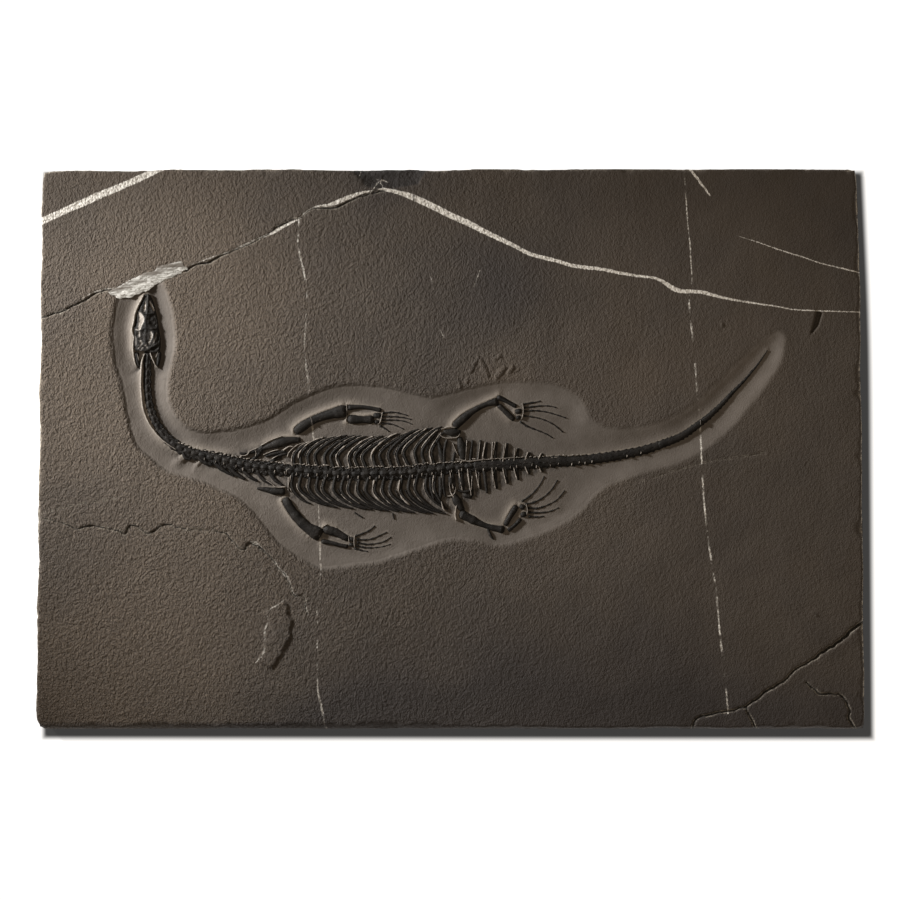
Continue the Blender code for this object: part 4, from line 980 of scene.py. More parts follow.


# %% [markdown]
# ## Veins, as paint
#
# White calcite has filled old cracks and lies level with the face, so a vein is colour only. Two
# thin lines are painted the same way as painted highlights: the lit edge of the raised flake and
# the lit face of the low crack's step. The mesh is coarse there, and a thin line painted on coarse
# vertices would break up. So each vertex keeps its signed distance from the vein, which changes
# evenly across the face, and the material works out the thin white line from that.

# %% Lines of the veins
# (x, y, half width)
VEINS = {
    "corner": [(-160, 84.2, 1.3), (-147.4, 90.1, 1.2), (-140.6, 93.1, 1.35), (-133.0, 96.5, 1.35),
               (-125.4, 99.6, 1.25), (-117.8, 103.0, 1.2), (-108, 107.6, 1.2)],
    "broad": [(-26.8, 98.7, 0.3), (-23.8, 98.5, 0.6), (-19.0, 97.3, 0.8), (-14.4, 95.8, 1.2),
              (-7.6, 92.7, 1.2), (0.0, 88.9, 1.15), (7.6, 85.5, 1.1), (13.3, 82.5, 1.0),
              (19.0, 79.8, 0.9), (24.7, 77.1, 0.75), (30.4, 74.1, 0.7), (36.1, 72.6, 0.7),
              (41.8, 71.1, 0.65), (47.5, 69.5, 0.7), (57.0, 68.4, 0.6), (64.6, 66.9, 0.6),
              (72.2, 65.7, 0.5), (77.9, 65.0, 0.45), (81.7, 63.1, 0.7), (84.4, 61.2, 0.9),
              (87.4, 60.0, 0.8),
              (95.0, 59.7, 0.7), (102.6, 57.8, 0.5), (108.3, 56.6, 0.4), (117.8, 55.1, 0.3),
              (125.4, 54.0, 0.25), (133.0, 52.8, 0.2), (160, 51.9, 0.16)],
    "short": [(90.0, 108, 0.5), (91.2, 106.4, 0.5), (95.0, 101.5, 0.45), (99.2, 95.8, 0.2)],
    "top_crack": [(-97.5, 70.3, 0.12), (-90.4, 72.8, 0.25), (-84, 75.0, 0.2), (-79.4, 77.0, 0.35),
                  (-72.2, 80.2, 0.3), (-66.9, 82.4, 0.55), (-61.9, 85.3, 0.5), (-57.6, 87.4, 0.3),
                  (-53.2, 91.2, 0.25), (-49.4, 92.4, 0.3), (-46.0, 92.6, 0.6), (-42.2, 94.1, 0.85),
                  (-37.6, 95.9, 0.8), (-33.4, 97.4, 0.5), (-29.6, 98.2, 0.1)],
    "head_crack": [(-140, 57.0, 0.05), (-136, 59.3, 0.2), (-131.5, 60.6, 0.35), (-128, 61.2, 0.2)],
    "side": [(108.3, 81.3, 0.05), (117.8, 78.3, 0.14), (125.4, 75.6, 0.18), (133.0, 73.3, 0.2),
             (140.6, 70.7, 0.2), (148.2, 68.8, 0.22), (160, 66, 0.22)],
}
# Thin veins, and two painted highlights drawn like them: the lit edge of the raised flake and the
# lit face of the low crack's step.
THIN_VEINS_AND_LIT_EDGES = {
    "chip_1": [(-33.8, 106.5, 0.22), (-34.6, 102.5, 0.18), (-35.9, 99.0, 0.12)],
    "chip_2": [(-27.2, 101.6, 0.3), (-28.6, 99.6, 0.2), (-30.2, 97.4, 0.15)],
    "chip_3": [(-27.8, 102.4, 0.3), (-25.6, 102.2, 0.35), (-23.2, 101.2, 0.3), (-21.6, 99.4, 0.2)],
    "flake_lit_edge": [(-63.3, -57.6, 0.2), (-65.6, -59.4, 0.25), (-69.9, -61.8, 0.22),
                   (-68.9, -65.0, 0.35), (-70.4, -69.0, 0.45), (-70.4, -72.6, 0.5),
                   (-70.6, -77.0, 0.45), (-73.0, -80.4, 0.35), (-74.2, -81.4, 0.15)],
    "low_crack_lit_edge": [(-77.4, -36.6, 0.1), (-75.6, -35.4, 0.45), (-73.6, -36.0, 0.9),
                (-72.0, -37.4, 0.7), (-70.0, -39.4, 0.2), (-66.8, -42.4, 0.25),
                (-65.2, -45.0, 0.3), (-62.7, -47.6, 0.7), (-61.2, -50.4, 0.8),
                (-60.3, -53.0, 0.35), (-58.7, -55.8, 0.3), (-56.2, -56.4, 0.2),
                (-54.8, -59.8, 0.35), (-54.2, -62.4, 0.2)],
    "scratch_1": [(-4.2, 46.2, 0.12), (-3.2, 44.2, 0.18), (-2.2, 42.2, 0.1)],
    "scratch_2": [(-7.8, 67.0, 0.08), (-6.4, 61.8, 0.14), (-6.0, 57.4, 0.08)],
    "scratch_3": [(11.6, 68.8, 0.1), (10.2, 64.6, 0.14), (8.2, 60.2, 0.1)],
    "front": [(-57.4, 87.0, 0.3), (-57.8, 79.4, 0.4), (-57.0, 73.7, 0.4), (-55.9, 68.8, 0.45),
              (-54.7, 62.3, 0.45), (-54.7, 49.0, 0.35), (-55.5, 37.6, 0.35), (-54.3, 29.3, 0.5),
              (-53.6, 20.5, 0.5), (-52.8, 12.9, 0.45), (-52.4, 9.1, 0.4), (-50.4, -14, 0.22),
              (-49.8, -27.0, 0.3), (-49.4, -34.6, 0.35), (-49.4, -42.2, 0.4), (-49.0, -46.7, 0.4),
              (-50.2, -53.6, 0.35), (-50.5, -65.0, 0.35), (-50.5, -76.4, 0.35),
              (-50.2, -91.6, 0.4), (-49.0, -97.3, 0.55), (-46.8, -108, 0.5)],
    "rear": [(88.8, 108, 0.25), (89.7, 94.6, 0.25), (90.4, 85.1, 0.25), (91.2, 77.5, 0.25),
             (91.6, 69.9, 0.25), (92.0, 64.2, 0.25), (90.9, 58.5, 0.35), (91.2, 50.9, 0.4),
             (92.3, 41.4, 0.4), (93.1, 33.8, 0.4), (93.5, 26.2, 0.4), (94.2, 18.6, 0.4),
             (95.0, 11.0, 0.45), (95.4, 1.5, 0.4), (95.8, -8.0, 0.4), (96.5, -19.4, 0.4),
             (97.7, -30.8, 0.4), (99.2, -42.2, 0.4), (101.1, -53.6, 0.45), (101.8, -61.2, 0.4),
             (102.6, -70.7, 0.4), (103.7, -80.2, 0.55), (104.5, -87.8, 0.4), (105.3, -95.4, 0.4),
             (105.6, -99.9, 0.3)],
}
VEIN_REACH = 5.0
THIN_SHARE = 0.8  # the thin veins show a little narrower than they are drawn


def vein_readings(veins, share=1.0):
    """Signed distance from the nearest vein and its half width there, none far away."""
    x, y = slab_x, slab_y
    signed, half = np.full(x.shape, VEIN_REACH), np.full(x.shape, -10.0)
    for line in veins.values():
        line = smooth_line(line, 2.0)
        gap, side, along, width, _ = nearest_on_line(x, y, line, 400.0, open_ended=True)
        on_it = (gap < VEIN_REACH) & (along > -1) & (along < run_along(line)[-1] + 1)
        closer = on_it & (gap < np.abs(signed))
        signed[closer] = (gap * side)[closer]
        half[closer] = width[closer] * share
    return signed, half


print("broad veins:", len(VEINS), "thin veins:", len(THIN_VEINS_AND_LIT_EDGES))

# %% [markdown]
# ## The rock's material
#
# Dark limestone, brown where the light is warm and a little purple in places. Outside the trough
# the face is pebbled, with grains about 1.4 mm across that lean one way; their colour is painted
# lighter and darker more strongly near the lamp, as painted light and shade. Inside the trough it
# is smooth and paler. A thin pale rim follows the foot of each bone: pale rock, and a painted
# highlight on the side that faces the lamp. The bank of rock on that side of the thick bones is
# painted pale as a highlight, and the floor beside the skull and neck, away from the lamp, is
# painted in shadow. The worn rim of the slab is painted pale where the lamp falls on it, as a
# highlight, and the rock between the ribs is stained dark. The material is painted in layers, from
# the stone up to the veins and cracks. Each layer is one function below, and takes the colour under
# it. Where a layer shows comes from the readings that the mesh keeps at its vertices, so that paint
# and relief always fit together.

# %% Colours of the stone
BROWN_STONE, LIGHT_STONE = rgb(0.074, 0.060, 0.048), rgb(0.084, 0.070, 0.058)
GREY_PATCH = rgb(0.066, 0.056, 0.049)
WARM_PATCH, COOL_PATCH = rgb(0.084, 0.066, 0.050), rgb(0.070, 0.062, 0.062)
SCRAPED_DARK, SCRAPED_LIGHT = rgb(0.104, 0.090, 0.078), rgb(0.130, 0.114, 0.101)
# Painted shadow for the trough's floor beside the skull and neck, on the side away from the lamp
SHADED_FLOOR = rgb(0.030, 0.026, 0.023)
STAIN_DARK, STAIN_GREY = rgb(0.034, 0.030, 0.027), rgb(0.125, 0.110, 0.097)
# Pale rim at the bones' feet: pale rock with a painted highlight on the lamp's side; the bank's
# pale is all painted highlight
PALE_FOOT_AND_HIGHLIGHT, BANK_HIGHLIGHT = rgb(0.27, 0.24, 0.205), rgb(0.24, 0.21, 0.18)
WORN_RIM_AND_HIGHLIGHT, CHIP_DARK = rgb(0.36, 0.32, 0.26), rgb(0.029, 0.0265, 0.026)
# Vein whites near and far from the lamp: the far ones are painted whiter, as painted light
NEAR_WHITE, FAR_WHITE = rgb(0.47, 0.445, 0.405), rgb(0.95, 0.92, 0.86)
NEAR_DULL, FAR_DULL = rgb(0.27, 0.24, 0.21), rgb(0.46, 0.43, 0.39)
CRACK_DARK, LIP_PALE = rgb(0.028, 0.029, 0.025), rgb(0.26, 0.235, 0.195)
GRAIN_LEAN = math.radians(-24)


# %% Layers of the stone
def stone_colour(graph, flat, speck):
    """Brown stone in broad patches, with every grain a little lighter or darker."""
    tone = graph.reading("tone")
    colour = graph.blend(graph.ramp(graph.noise(flat, 46, 3), 0.3, 0.7), BROWN_STONE, LIGHT_STONE)
    patch = graph.ramp(graph.noise(flat, 16, 4, 0.6), 0.35, 0.75, 0, 0.5)
    colour = graph.blend(patch, colour, GREY_PATCH)
    colour = graph.blend(graph.ramp(tone, 0, 1, 0, 0.6), colour, WARM_PATCH)
    colour = graph.blend(graph.ramp(tone, 0, -1, 0, 0.6), colour, COOL_PATCH)
    # The grains' colour is painted lighter and darker more strongly near the lamp: random grain
    # colour with painted light and shade on top.
    contrast = graph.maths("MULTIPLY_ADD", graph.reading("grain"), 1.15, 0.55)
    return graph.dim(colour, graph.maths("MULTIPLY_ADD", graph.maths("SUBTRACT", speck, 0.5),
                                         contrast, 1.0))


def trough_colour(graph, flat, smooth, colour):
    """The scraped floor of the trough, a painted shadow by the skull and neck, and the rib stain.
    """
    wash = graph.ramp(graph.noise(flat, 7, 4, 0.6), 0.3, 0.7)
    trough = graph.dim(graph.blend(wash, SCRAPED_DARK, SCRAPED_LIGHT), graph.reading("scraped"))
    # Painted shadow: the floor beside the skull and neck turns dark on the side away from the lamp.
    trough = graph.blend(graph.times(graph.reading("shade"), 0.62), trough, SHADED_FLOOR)
    colour = graph.blend(graph.times(smooth, 0.92), colour, trough)
    colour = graph.dim(colour, graph.ramp(graph.reading("tone"), -1, 1, 0.62, 1.38, smooth=False))
    streak = graph.noise(graph.millimetres(turn=0.2, stretch=(1.0, 0.5, 1)), 1.1, 3, 0.65)
    stained = graph.blend(graph.ramp(streak, 0.36, 0.66), STAIN_DARK, STAIN_GREY)
    return graph.blend(graph.times(graph.reading("stain"), 0.88), colour, stained)


def pale_edges(graph, broken, smooth, colour):
    """Pale rock and painted highlight by the bones and on the worn rim; darker in the chip."""
    bone = graph.reading("bone")
    # Pale rim at the bones' feet: pale rock, and a painted highlight where the pale reading rises
    # on the lamp's side.
    foot = graph.times(graph.ramp(bone, 0.75, 0.05), graph.ramp(broken, 0.33, 0.6, 0.25, 1.0))
    foot = graph.times(foot, graph.reading("pale"))
    colour = graph.blend(graph.times(foot, smooth), colour, PALE_FOOT_AND_HIGHLIGHT)
    # Painted highlight on the rock banked against the lamp's side of the thick bones.
    bank = graph.maths("POWER", graph.ramp(bone, 3.4, 0.1, smooth=False), 1.6)
    bank = graph.times(bank, graph.reading("bank"))
    colour = graph.blend(graph.times(bank, smooth), colour, BANK_HIGHLIGHT)
    # The worn rim is painted pale only where the lamp falls on the edge: wear and a painted
    # highlight.
    worn = graph.times(graph.ramp(graph.reading("worn"), 0.5, 0.92),
                       graph.ramp(broken, 0.36, 0.6))
    colour = graph.blend(graph.times(worn, graph.reading("lit_edge")), colour, WORN_RIM_AND_HIGHLIGHT)
    # Darker inside the chip at the top edge.
    chipped = graph.times(graph.ramp(graph.reading("chip"), -0.1, 0.8), 0.85)
    return graph.blend(chipped, colour, CHIP_DARK)


# %% Layers of the veins and cracks
# For each set of veins: the size of the noise that breaks it up, and where that turns to vein.
VEIN_DASHES = {1: (5, 0.2, 0.4), 2: (7, 0.42, 0.60)}


def vein_colour(graph, flat, colour):
    """The broad veins are nearly solid, the thin ones break into dashes."""
    # Veins are painted whiter far from the lamp, where its light is weaker: painted light.
    far = graph.ramp(graph.reading("grain"), 1.42, 0.50)
    white = graph.blend(far, NEAR_WHITE, FAR_WHITE)
    dull = graph.blend(far, NEAR_DULL, FAR_DULL)
    ragged = graph.maths("MULTIPLY_ADD", graph.noise(flat, 0.7, 2), 0.8, -0.4)
    for number, (size, low, high) in VEIN_DASHES.items():
        off = graph.maths("ABSOLUTE", graph.reading(f"vein_{number}"))
        half = graph.reading(f"vein_half_{number}")
        over = graph.maths("ADD", graph.maths("SUBTRACT", half, off), ragged)
        line = graph.times(graph.ramp(over, -0.1, 0.16), graph.ramp(half, 0.02, 0.12))
        line = graph.times(line, graph.ramp(graph.noise(flat, size, 3, 0.7), low, high))
        vein = graph.blend(graph.ramp(graph.noise(flat, 0.9, 3), 0.42, 0.66), white, dull)
        colour = graph.blend(graph.times(line, 0.92), colour, vein)
    return colour


def crack_colour(graph, flat, colour):
    """A crack is dark inside, with a thin bright lip on either side."""
    crack = graph.reading("crack")
    colour = graph.blend(graph.times(graph.ramp(crack, 0.3, 0.75), 0.75), colour, CRACK_DARK)
    lip = graph.times(graph.ramp(crack, 0.01, 0.12), graph.ramp(crack, 0.42, 0.22))
    lip = graph.times(lip, graph.ramp(graph.noise(flat, 2.2, 3, 0.7), 0.38, 0.58))
    lip = graph.times(lip, graph.reading("lips"))
    return graph.blend(graph.times(lip, 0.8), colour, LIP_PALE)


# %% Limestone
def limestone():
    graph = Graph("black_limestone")
    flat = graph.millimetres()
    lean = graph.millimetres(turn=GRAIN_LEAN, stretch=(1, 0.8, 1))
    speck = graph.noise(lean, 0.62, 2, 0.75)
    broken = graph.noise(flat, 1.6, 3, 0.6)
    wander = graph.maths("MULTIPLY_ADD", graph.noise(flat, 5, 2), 1.2, -0.6)
    smooth = graph.ramp(graph.maths("ADD", graph.reading("rim"), wander), -1.4, 0.9)
    colour = stone_colour(graph, flat, speck)
    colour = trough_colour(graph, flat, smooth, colour)
    colour = pale_edges(graph, broken, smooth, colour)
    colour = vein_colour(graph, flat, colour)
    colour = crack_colour(graph, flat, colour)
    # Pebbled grain, only outside the trough, and a finer tooth everywhere.
    grain = graph.maths("MULTIPLY_ADD", speck, 0.7, graph.noise(lean, 1.4, 2, 0.7))
    grain = graph.times(grain, graph.reading("grain"))
    rough = graph.maths("SUBTRACT", 1.0, graph.times(smooth, 0.9))
    tooth = graph.times(graph.noise(flat, 0.5, 2), 0.12)
    height = graph.maths("ADD", graph.times(grain, rough), tooth)
    print("nodes in the limestone:", len(graph.tree.nodes))
    return graph.finish(colour, graph.ramp(speck, 0.3, 0.7, 0.72, 0.9), 0.3, height,
                        relief=(1.0, 1.05))


# %% Helpers that dress a mesh
# What the material reads on the slab's sides, which lie outside the face's plan.
SIDE_VALUES = {"rim": -20.0, "bone": 18.0, "chip": -5.0, "scraped": 1.0, "grain": 1.0}


def add_reading(mesh, name, values):
    """Store one number a vertex, for the material to read."""
    layer = mesh.attributes.new(name, "FLOAT", "POINT")
    full = np.full(len(mesh.vertices), SIDE_VALUES.get(name, 0.0), np.float32)
    full[:len(values)] = values
    layer.data.foreach_set("value", full)


def dress(name, mesh, material, slot, *nodes):
    """Make an object of the mesh, and say what it rides on and which solids it stands for."""
    mesh.materials.append(material)
    piece = bpy.data.objects.new(name, mesh)
    bpy.context.scene.collection.objects.link(piece)
    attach(piece, "root")
    if nodes:
        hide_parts(*nodes)
    return piece


# %% Warm and dark patches
# (x, y, radius, strength): a positive strength is warmer and lighter, a negative one darker.
PATCHES = [
    (-126, 56, 26, 0.25), (-90, 46, 28, 0.5), (-98, 60, 16, 0.35), (-72, 78, 26, 0.25),
    (16, 58, 24, -0.6), (-5, 66, 22, -0.2), (38, 74, 26, -0.2), (104, 78, 24, 0.35),
    (-148, 96, 14, -0.3), (-26, 102, 16, -0.6), (-55, 98, 30, -0.15), (35, 100, 24, -0.2),
    (-150, 12, 24, 0.15), (-148, -42, 18, -0.05), (-112, -40, 30, 0.2), (-146, -86, 22, 0.45),
    (-112, -84, 24, 0.5), (-90, -62, 24, 0.35), (-60, -110, 24, -0.6), (-45, -92, 24, -0.25),
    (-15, -110, 26, -0.8), (-90, -112, 20, -0.4), (8, -78, 34, -0.35), (35, -106, 30, -0.5),
    (64, -86, 24, -0.4), (80, -104, 26, -0.55), (120, -104, 26, -0.5), (20, -112, 22, -0.5),
    (115, 25, 24, 0.5), (-106, 52, 18, 0.25), (-104, 24, 18, 0.25), (-134, 30, 14, 0.25),
    (80, 26, 20, 0.25), (60, 40, 30, 0.3), (60, -25, 30, 0.3), (60, 66, 26, 0.2),
    (100, -60, 26, -0.2), (19, 25, 14, 0.7), (-124, 8, 20, 0.5), (-104, -14, 18, 0.35),
    (-84, -22, 18, 0.3), (-122, 62, 20, 0.3), (-130, -84, 26, 0.25),
]


def stone_tone(x, y):
    """Warmer and lighter, or darker, over the whole face."""
    tone = 0.25 * clouds(x, y, 30, 121, 3)
    for px, py, radius, strength in PATCHES:
        tone += strength * np.exp(-((x - px) ** 2 + (y - py) ** 2) / radius ** 2)
    # Darker towards the bottom edge, and painted shade along the bottom bevel, which slopes away
    # from the lamp.
    tone -= 0.45 * soft_step(-y, 84, 104) * soft_step(x, -90, -40)
    tone -= 0.9 * soft_step(-y, 103.6, 104.8) * soft_step(-x, -50, -10)
    return tone + 0.4 * soft_step(-x, 30, 90)


def grain_strength(x, y):
    """The pebbles stand out most at the head's end, where the lamp is near."""
    # The same number also sets how strongly the grains' colour is painted lighter and darker, and
    # how white the veins are painted, as painted light.
    hind = soft_step(x, -60, 50)
    grain = 1.5 - 1.03 * hind - 0.2 * soft_step(x, 30, 120)
    grain -= 0.6 * soft_step(y, 40, 100) * (1 - 0.8 * hind)
    return grain * (1 + 0.14 * soft_step(-y, -20, 40) * soft_step(-x, -30, 40))


# %% What the limestone reads at each vertex
lit, stain, bone = (slab_readings[name] for name in ("lit", "stain", "bone"))
wide = soft_step(slab_readings["width"], 0.5, 1.2)
# Where the shadow is painted: beside the skull and neck, on the side away from the lamp.
shade = (1 - lit) * soft_step(-slab_x, 98, 106)
shade *= soft_step(-bone, -3.6 - 3 * soft_step(slab_y, 26, 36), -1.2)
# Where the worn rim is painted pale as a highlight: fully on the left and right edges, less along
# the top, and not along the bottom, which faces away from the lamp.
left_rim = soft_step(slab_y, -101, -96) * (1 - 0.6 * soft_step(slab_x, -150, -140))
right_rim = soft_step(slab_x, 145, 154) * soft_step(slab_y, -104, -98)
slab_readings.update({
    "tone": stone_tone(slab_x, slab_y),
    "grain": grain_strength(slab_x, slab_y),
    "scraped": 0.76 + 0.22 * soft_step(slab_x, -118, -20) + 0.25 * soft_step(slab_x, 55, 90),
    "shade": shade,
    # The pale rim is stronger on the lamp's side of each bone, as a painted highlight.
    "pale": (1 - 0.6 * stain) * (0.35 + 0.65 * lit) * (0.25 + 0.75 * wide),
    # The bank is painted pale only on the lamp's side of the thick bones, as a highlight.
    "bank": lit * (1 - 0.8 * stain) * wide * (1 - 0.75 * by_the_tail(slab_x, slab_y)),
    "lit_edge": np.maximum(left_rim, right_rim),
})
slab_readings["vein_1"], slab_readings["vein_half_1"] = vein_readings(VEINS)
slab_readings["vein_2"], slab_readings["vein_half_2"] = vein_readings(THIN_VEINS_AND_LIT_EDGES, THIN_SHARE)
for name, values in slab_readings.items():
    if name not in ("lit", "width"):  # the material has no use for these two
        add_reading(slab_mesh, name, values)
dress("carved_slab", slab_mesh, limestone(), "matrix", "matrix_slab")
print("readings on the slab:", len(slab_mesh.attributes))

# %% [markdown]
# ## Bones as rounded bars
#
# A bone lies half in the rock and shows a rounded back. `bar` draws a domed section along a
# line, rounds both ends, sinks its foot below the rock, and roughens it a little. A whole
# skeleton comes from this one shape: a rib is a thin bar, a finger bone a short one with a
# narrow waist, and a vertebra a cluster of short ones.

# %% Rings across a line
# The rounded end of a bar in five rings: how far each one is from the tip, as a share.
CAP_RINGS = np.array([0.97, 0.87, 0.71, 0.5, 0.25])
CAP_REACH = 1.3


def rounded_end(end, inner, cap):
    """Rings that go on from a line's end and close in on the tip: x, y, half width, height."""
    out = (end[:2] - inner[:2]) / max(np.hypot(*(end[:2] - inner[:2])), 1e-9)
    places = end[:2] + out * (end[2] * cap * (1 - CAP_RINGS)[:, None] * CAP_REACH)
    return np.column_stack([places, end[2] * np.sqrt(1 - (1 - CAP_RINGS) ** 2), CAP_RINGS])


def across_line(x, y, half, across):
    """Places on rings across a line: 1 in across is the left edge, and -1 the right one."""
    ahead = headings(np.column_stack([x, y]))
    return (x[:, None] - ahead[:, 1:] * half[:, None] * across,
            y[:, None] + ahead[:, :1] * half[:, None] * across)


def ring_faces(rows, columns):
    """Quads round a stack of rings, with both ends closed."""
    number = np.arange(rows * columns).reshape(rows, columns)
    after = np.roll(number, -1, axis=1)
    quads = np.stack([number[:-1], after[:-1], after[1:], number[1:]], axis=-1).reshape(-1, 4)
    return [*quads.tolist(), number[0][::-1].tolist(), number[-1].tolist()]


# %% Bar helper
def bar(line, rise=0.75, lift=0.12, spacing=0.5, columns=9, power=2.6, sink=0.7, rough=0.05,
        cap=0.8, seed=7):
    """Vertices and faces of one bone, which stands rise times its half width plus lift high."""
    if len(line) > 2:
        line = smooth_line(line, spacing)
    else:
        t = np.linspace(0, 1, 4)[:, None]
        line = np.array(line[0]) * (1 - t) + np.array(line[1]) * t
    first, last = rounded_end(line[0], line[1], cap), rounded_end(line[-1], line[-2], cap)
    body = np.column_stack([line[:, :3], np.ones(len(line))])
    x, y, half, stand = np.vstack([first[::-1], body, last]).T
    half = half * (1 + 0.08 * clouds(x, y, 1.5, seed, 2))
    across = np.cos(np.linspace(0, math.pi, columns))
    dome = (1 - np.abs(across) ** power) ** (1 / power)
    px, py = across_line(x, y, half, across)
    top = (rise * half + lift) * np.sqrt(stand)
    pz = (bed_level(x, y) - sink)[:, None] + (sink + top)[:, None] * dome
    pz += rough * clouds(px, py, 0.9, seed + 5, 2) * dome
    pz = np.minimum(pz, TOP - 0.03 * across ** 2)
    rings = np.stack([px, py, pz], axis=2)
    return rings.reshape(-1, 3), ring_faces(*rings.shape[:2])


def bars(lines, seed, **look):
    """One bar for each line, every one with its own roughness."""
    return [bar(line, seed=seed + number, **look) for number, line in enumerate(lines)]


def bone_mesh(name, shapes):
    """One mesh from several (vertices, faces) shapes."""
    vertices, faces, start = [], [], 0
    for points, sides in shapes:
        vertices.append(points)
        faces += [[index + start for index in side] for side in sides]
        start += len(points)
    mesh = bpy.data.meshes.new(name)
    mesh.from_pydata((np.vstack(vertices) * MM).tolist(), [], faces)
    bm = bmesh.new()
    bm.from_mesh(mesh)
    bmesh.ops.recalc_face_normals(bm, faces=bm.faces)
    bm.to_mesh(mesh)
    bm.free()
    mesh.shade_smooth()
    return mesh


def lay_bone(node, shapes, material):
    """Dress one bone, in place of the plain solid of this name."""
    name = "fossil_" + node
    dress(name, bone_mesh(name, shapes), material, "bone", node)


print("rings in a bar's rounded end:", len(CAP_RINGS))

# %% [markdown]
# ## The bone's material
#
# Fossil bone in black limestone is nearly black and a little glossy, with a fine fibrous grain.
# Crumbs of grey rock stay in its hollows, more where the needle could not reach.

# %% Fossil bone
BLACK_BONE, BROWN_BONE = rgb(0.0085, 0.0078, 0.0072), rgb(0.019, 0.0168, 0.015)
ROCK_CRUMBS, ROCK_FILLING = rgb(0.12, 0.104, 0.09), rgb(0.40, 0.365, 0.33)


def fossil_bone(name, dusty=0.0):
    graph = Graph(name)
    flat = graph.millimetres()
    fibre = graph.noise(flat, 0.5, 4, 0.65)
    patch = graph.ramp(graph.noise(flat, 3.5, 3, 0.6), 0.3, 0.7)
    colour = graph.blend(patch, BLACK_BONE, BROWN_BONE)
    dust = graph.maths("ADD", graph.noise(flat, 0.9, 3, 0.6), dusty)
    crumbs = graph.times(graph.ramp(dust, 0.64, 0.78), 0.7)
    colour = graph.blend(crumbs, colour, ROCK_CRUMBS)
    colour = graph.blend(graph.reading("rock"), colour, ROCK_FILLING)
    return graph.finish(colour, graph.ramp(fibre, 0.3, 0.7, 0.45, 0.72), 0.17, fibre,
                        relief=(0.9, 0.25))


BONE = fossil_bone("fossil_bone")
DUSTY_BONE = fossil_bone("dusty_fossil_bone", 0.02)
print("bone materials:", BONE.name, "and", DUSTY_BONE.name)

# %% [markdown]
# ## Limbs, hands and feet
#
# The long bones have wide ends and a waist, which their lines already give. A finger or toe is a
# row of short bones, each with knobs at its ends, as long as they fit on its line.

# %% Long bones and girdles
for number, (name, line) in enumerate(LIMB_BONES.items()):
    lay_bone(name, [bar(line, rise=0.5, lift=0.28, columns=13, spacing=0.4, seed=number + 200)],
             BONE)
print("long bones and girdles:", len(LIMB_BONES))

# %% Fingers and toes
PHALANX = 2.9  # length of one finger bone
JOINT_GAP = 0.25
KNOBS_AND_WAIST = np.array([0.95, 0.6, 0.6, 0.85])


def digit_shapes(line, seed):
    """Short bones in a row along a line, each thinner than the one before."""
    fine = smooth_line(line, 0.2)
    length = run_along(fine)[-1]
    count = max(2, int(round(length / PHALANX)))
    shapes = []
    for number in range(count):
        start, end = number / count, (number + 1) / count - JOINT_GAP / length
        share = np.array([start, start * 0.65 + end * 0.35, start * 0.35 + end * 0.65, end])
        at = np.clip((share * (len(fine) - 1)).round().astype(int), 0, len(fine) - 1)
        half = DIGIT_HALF * (1 - 0.4 * start) * KNOBS_AND_WAIST
        shapes.append(bar(np.column_stack([fine[at], half]), rise=0.65, lift=0.16,
                          spacing=0.3, seed=seed + number, rough=0.03))
    return shapes


for number, (name, line) in enumerate(DIGITS.items()):
    lay_bone(name, digit_shapes(line, 300 + number * 7), BONE)
print("fingers and toes:", len(DIGITS))

# %% [markdown]
# ## Neck, backbone and tail
#
# Seen from above, a vertebra is a block with a low ridge along its middle and a knob at each of
# its four corners, where it meets the next one. A soft bar runs under them all, so no gap shows.

# %% Vertebrae
def spine_core(spine, seed, worn_flat):
    """The bar under a chain of vertebrae. It shows more where the bones are worn flat."""
    core = smooth_line(spine, 1.0)
    core[:, 2] *= 0.97 + 0.03 * worn_flat
    return bar(core, rise=0.16 + 0.34 * worn_flat, lift=0.1 + 0.05 * worn_flat, columns=11,
               spacing=0.6, seed=seed, rough=0.1 - 0.05 * worn_flat)


def vertebra_parts(half, long, random):
    """Parts of one vertebra: forward, sideways, half length, lean, half width, rise and lift."""
    block = half * 0.62
    parts = [(0, 0, max(long - block * 0.55, 0.05), 0, block, 0.22, half * 0.20),
             (0, random.normal(0, 0.08), long * 0.55, 0, half * 0.15, 0.5, half * 0.36)]
    for side in (-1, 1):
        lean = side * 0.1 * half
        parts += [(long * 0.7, side * half * 0.6, long * 0.2, lean, half * 0.22, 0.5, half * 0.12),
                  (-long * 0.7, side * half * 0.66, long * 0.2, -lean, half * 0.2, 0.5,
                   half * 0.08),
                  (random.normal(0, 0.08), side * half * 0.8, long * 0.4, lean, half * 0.3, 0.3,
                   half * 0.02)]
    return parts


def vertebrae(spine, count, seed, worn_flat=0.0):
    """A chain of vertebrae along a line: a core, then a block, a ridge and knobs for each."""
    shapes = [spine_core(spine, seed, worn_flat)]
    fine = smooth_line(spine, 0.15)
    run, ahead = run_along(fine), headings(fine)
    random = np.random.default_rng(seed)
    pitch = run[-1] / count
    for number in range(count):
        index = int(np.searchsorted(run, (number + 0.5) * pitch).clip(0, len(fine) - 1))
        along, across = ahead[index], np.array([-ahead[index][1], ahead[index][0]])
        here = fine[index, :2] + random.normal(0, 0.06, 2)
        for forward, sideways, length, lean, width, rise, lift in vertebra_parts(
                fine[index, 2], pitch * 0.5 * 0.92, random):
            start = here + along * (forward - length) + across * (sideways - lean)
            end = here + along * (forward + length) + across * (sideways + lean)
            shapes.append(bar([(*start, width), (*end, width)], rise=rise, lift=lift, columns=7,
                              power=2.4, cap=0.9, seed=seed + number))
    return shapes


# %% Neck, trunk and tail
HIP_PROCESSES = 2 * len(TRUNK_PROCESSES)  # the rest belong to the tail

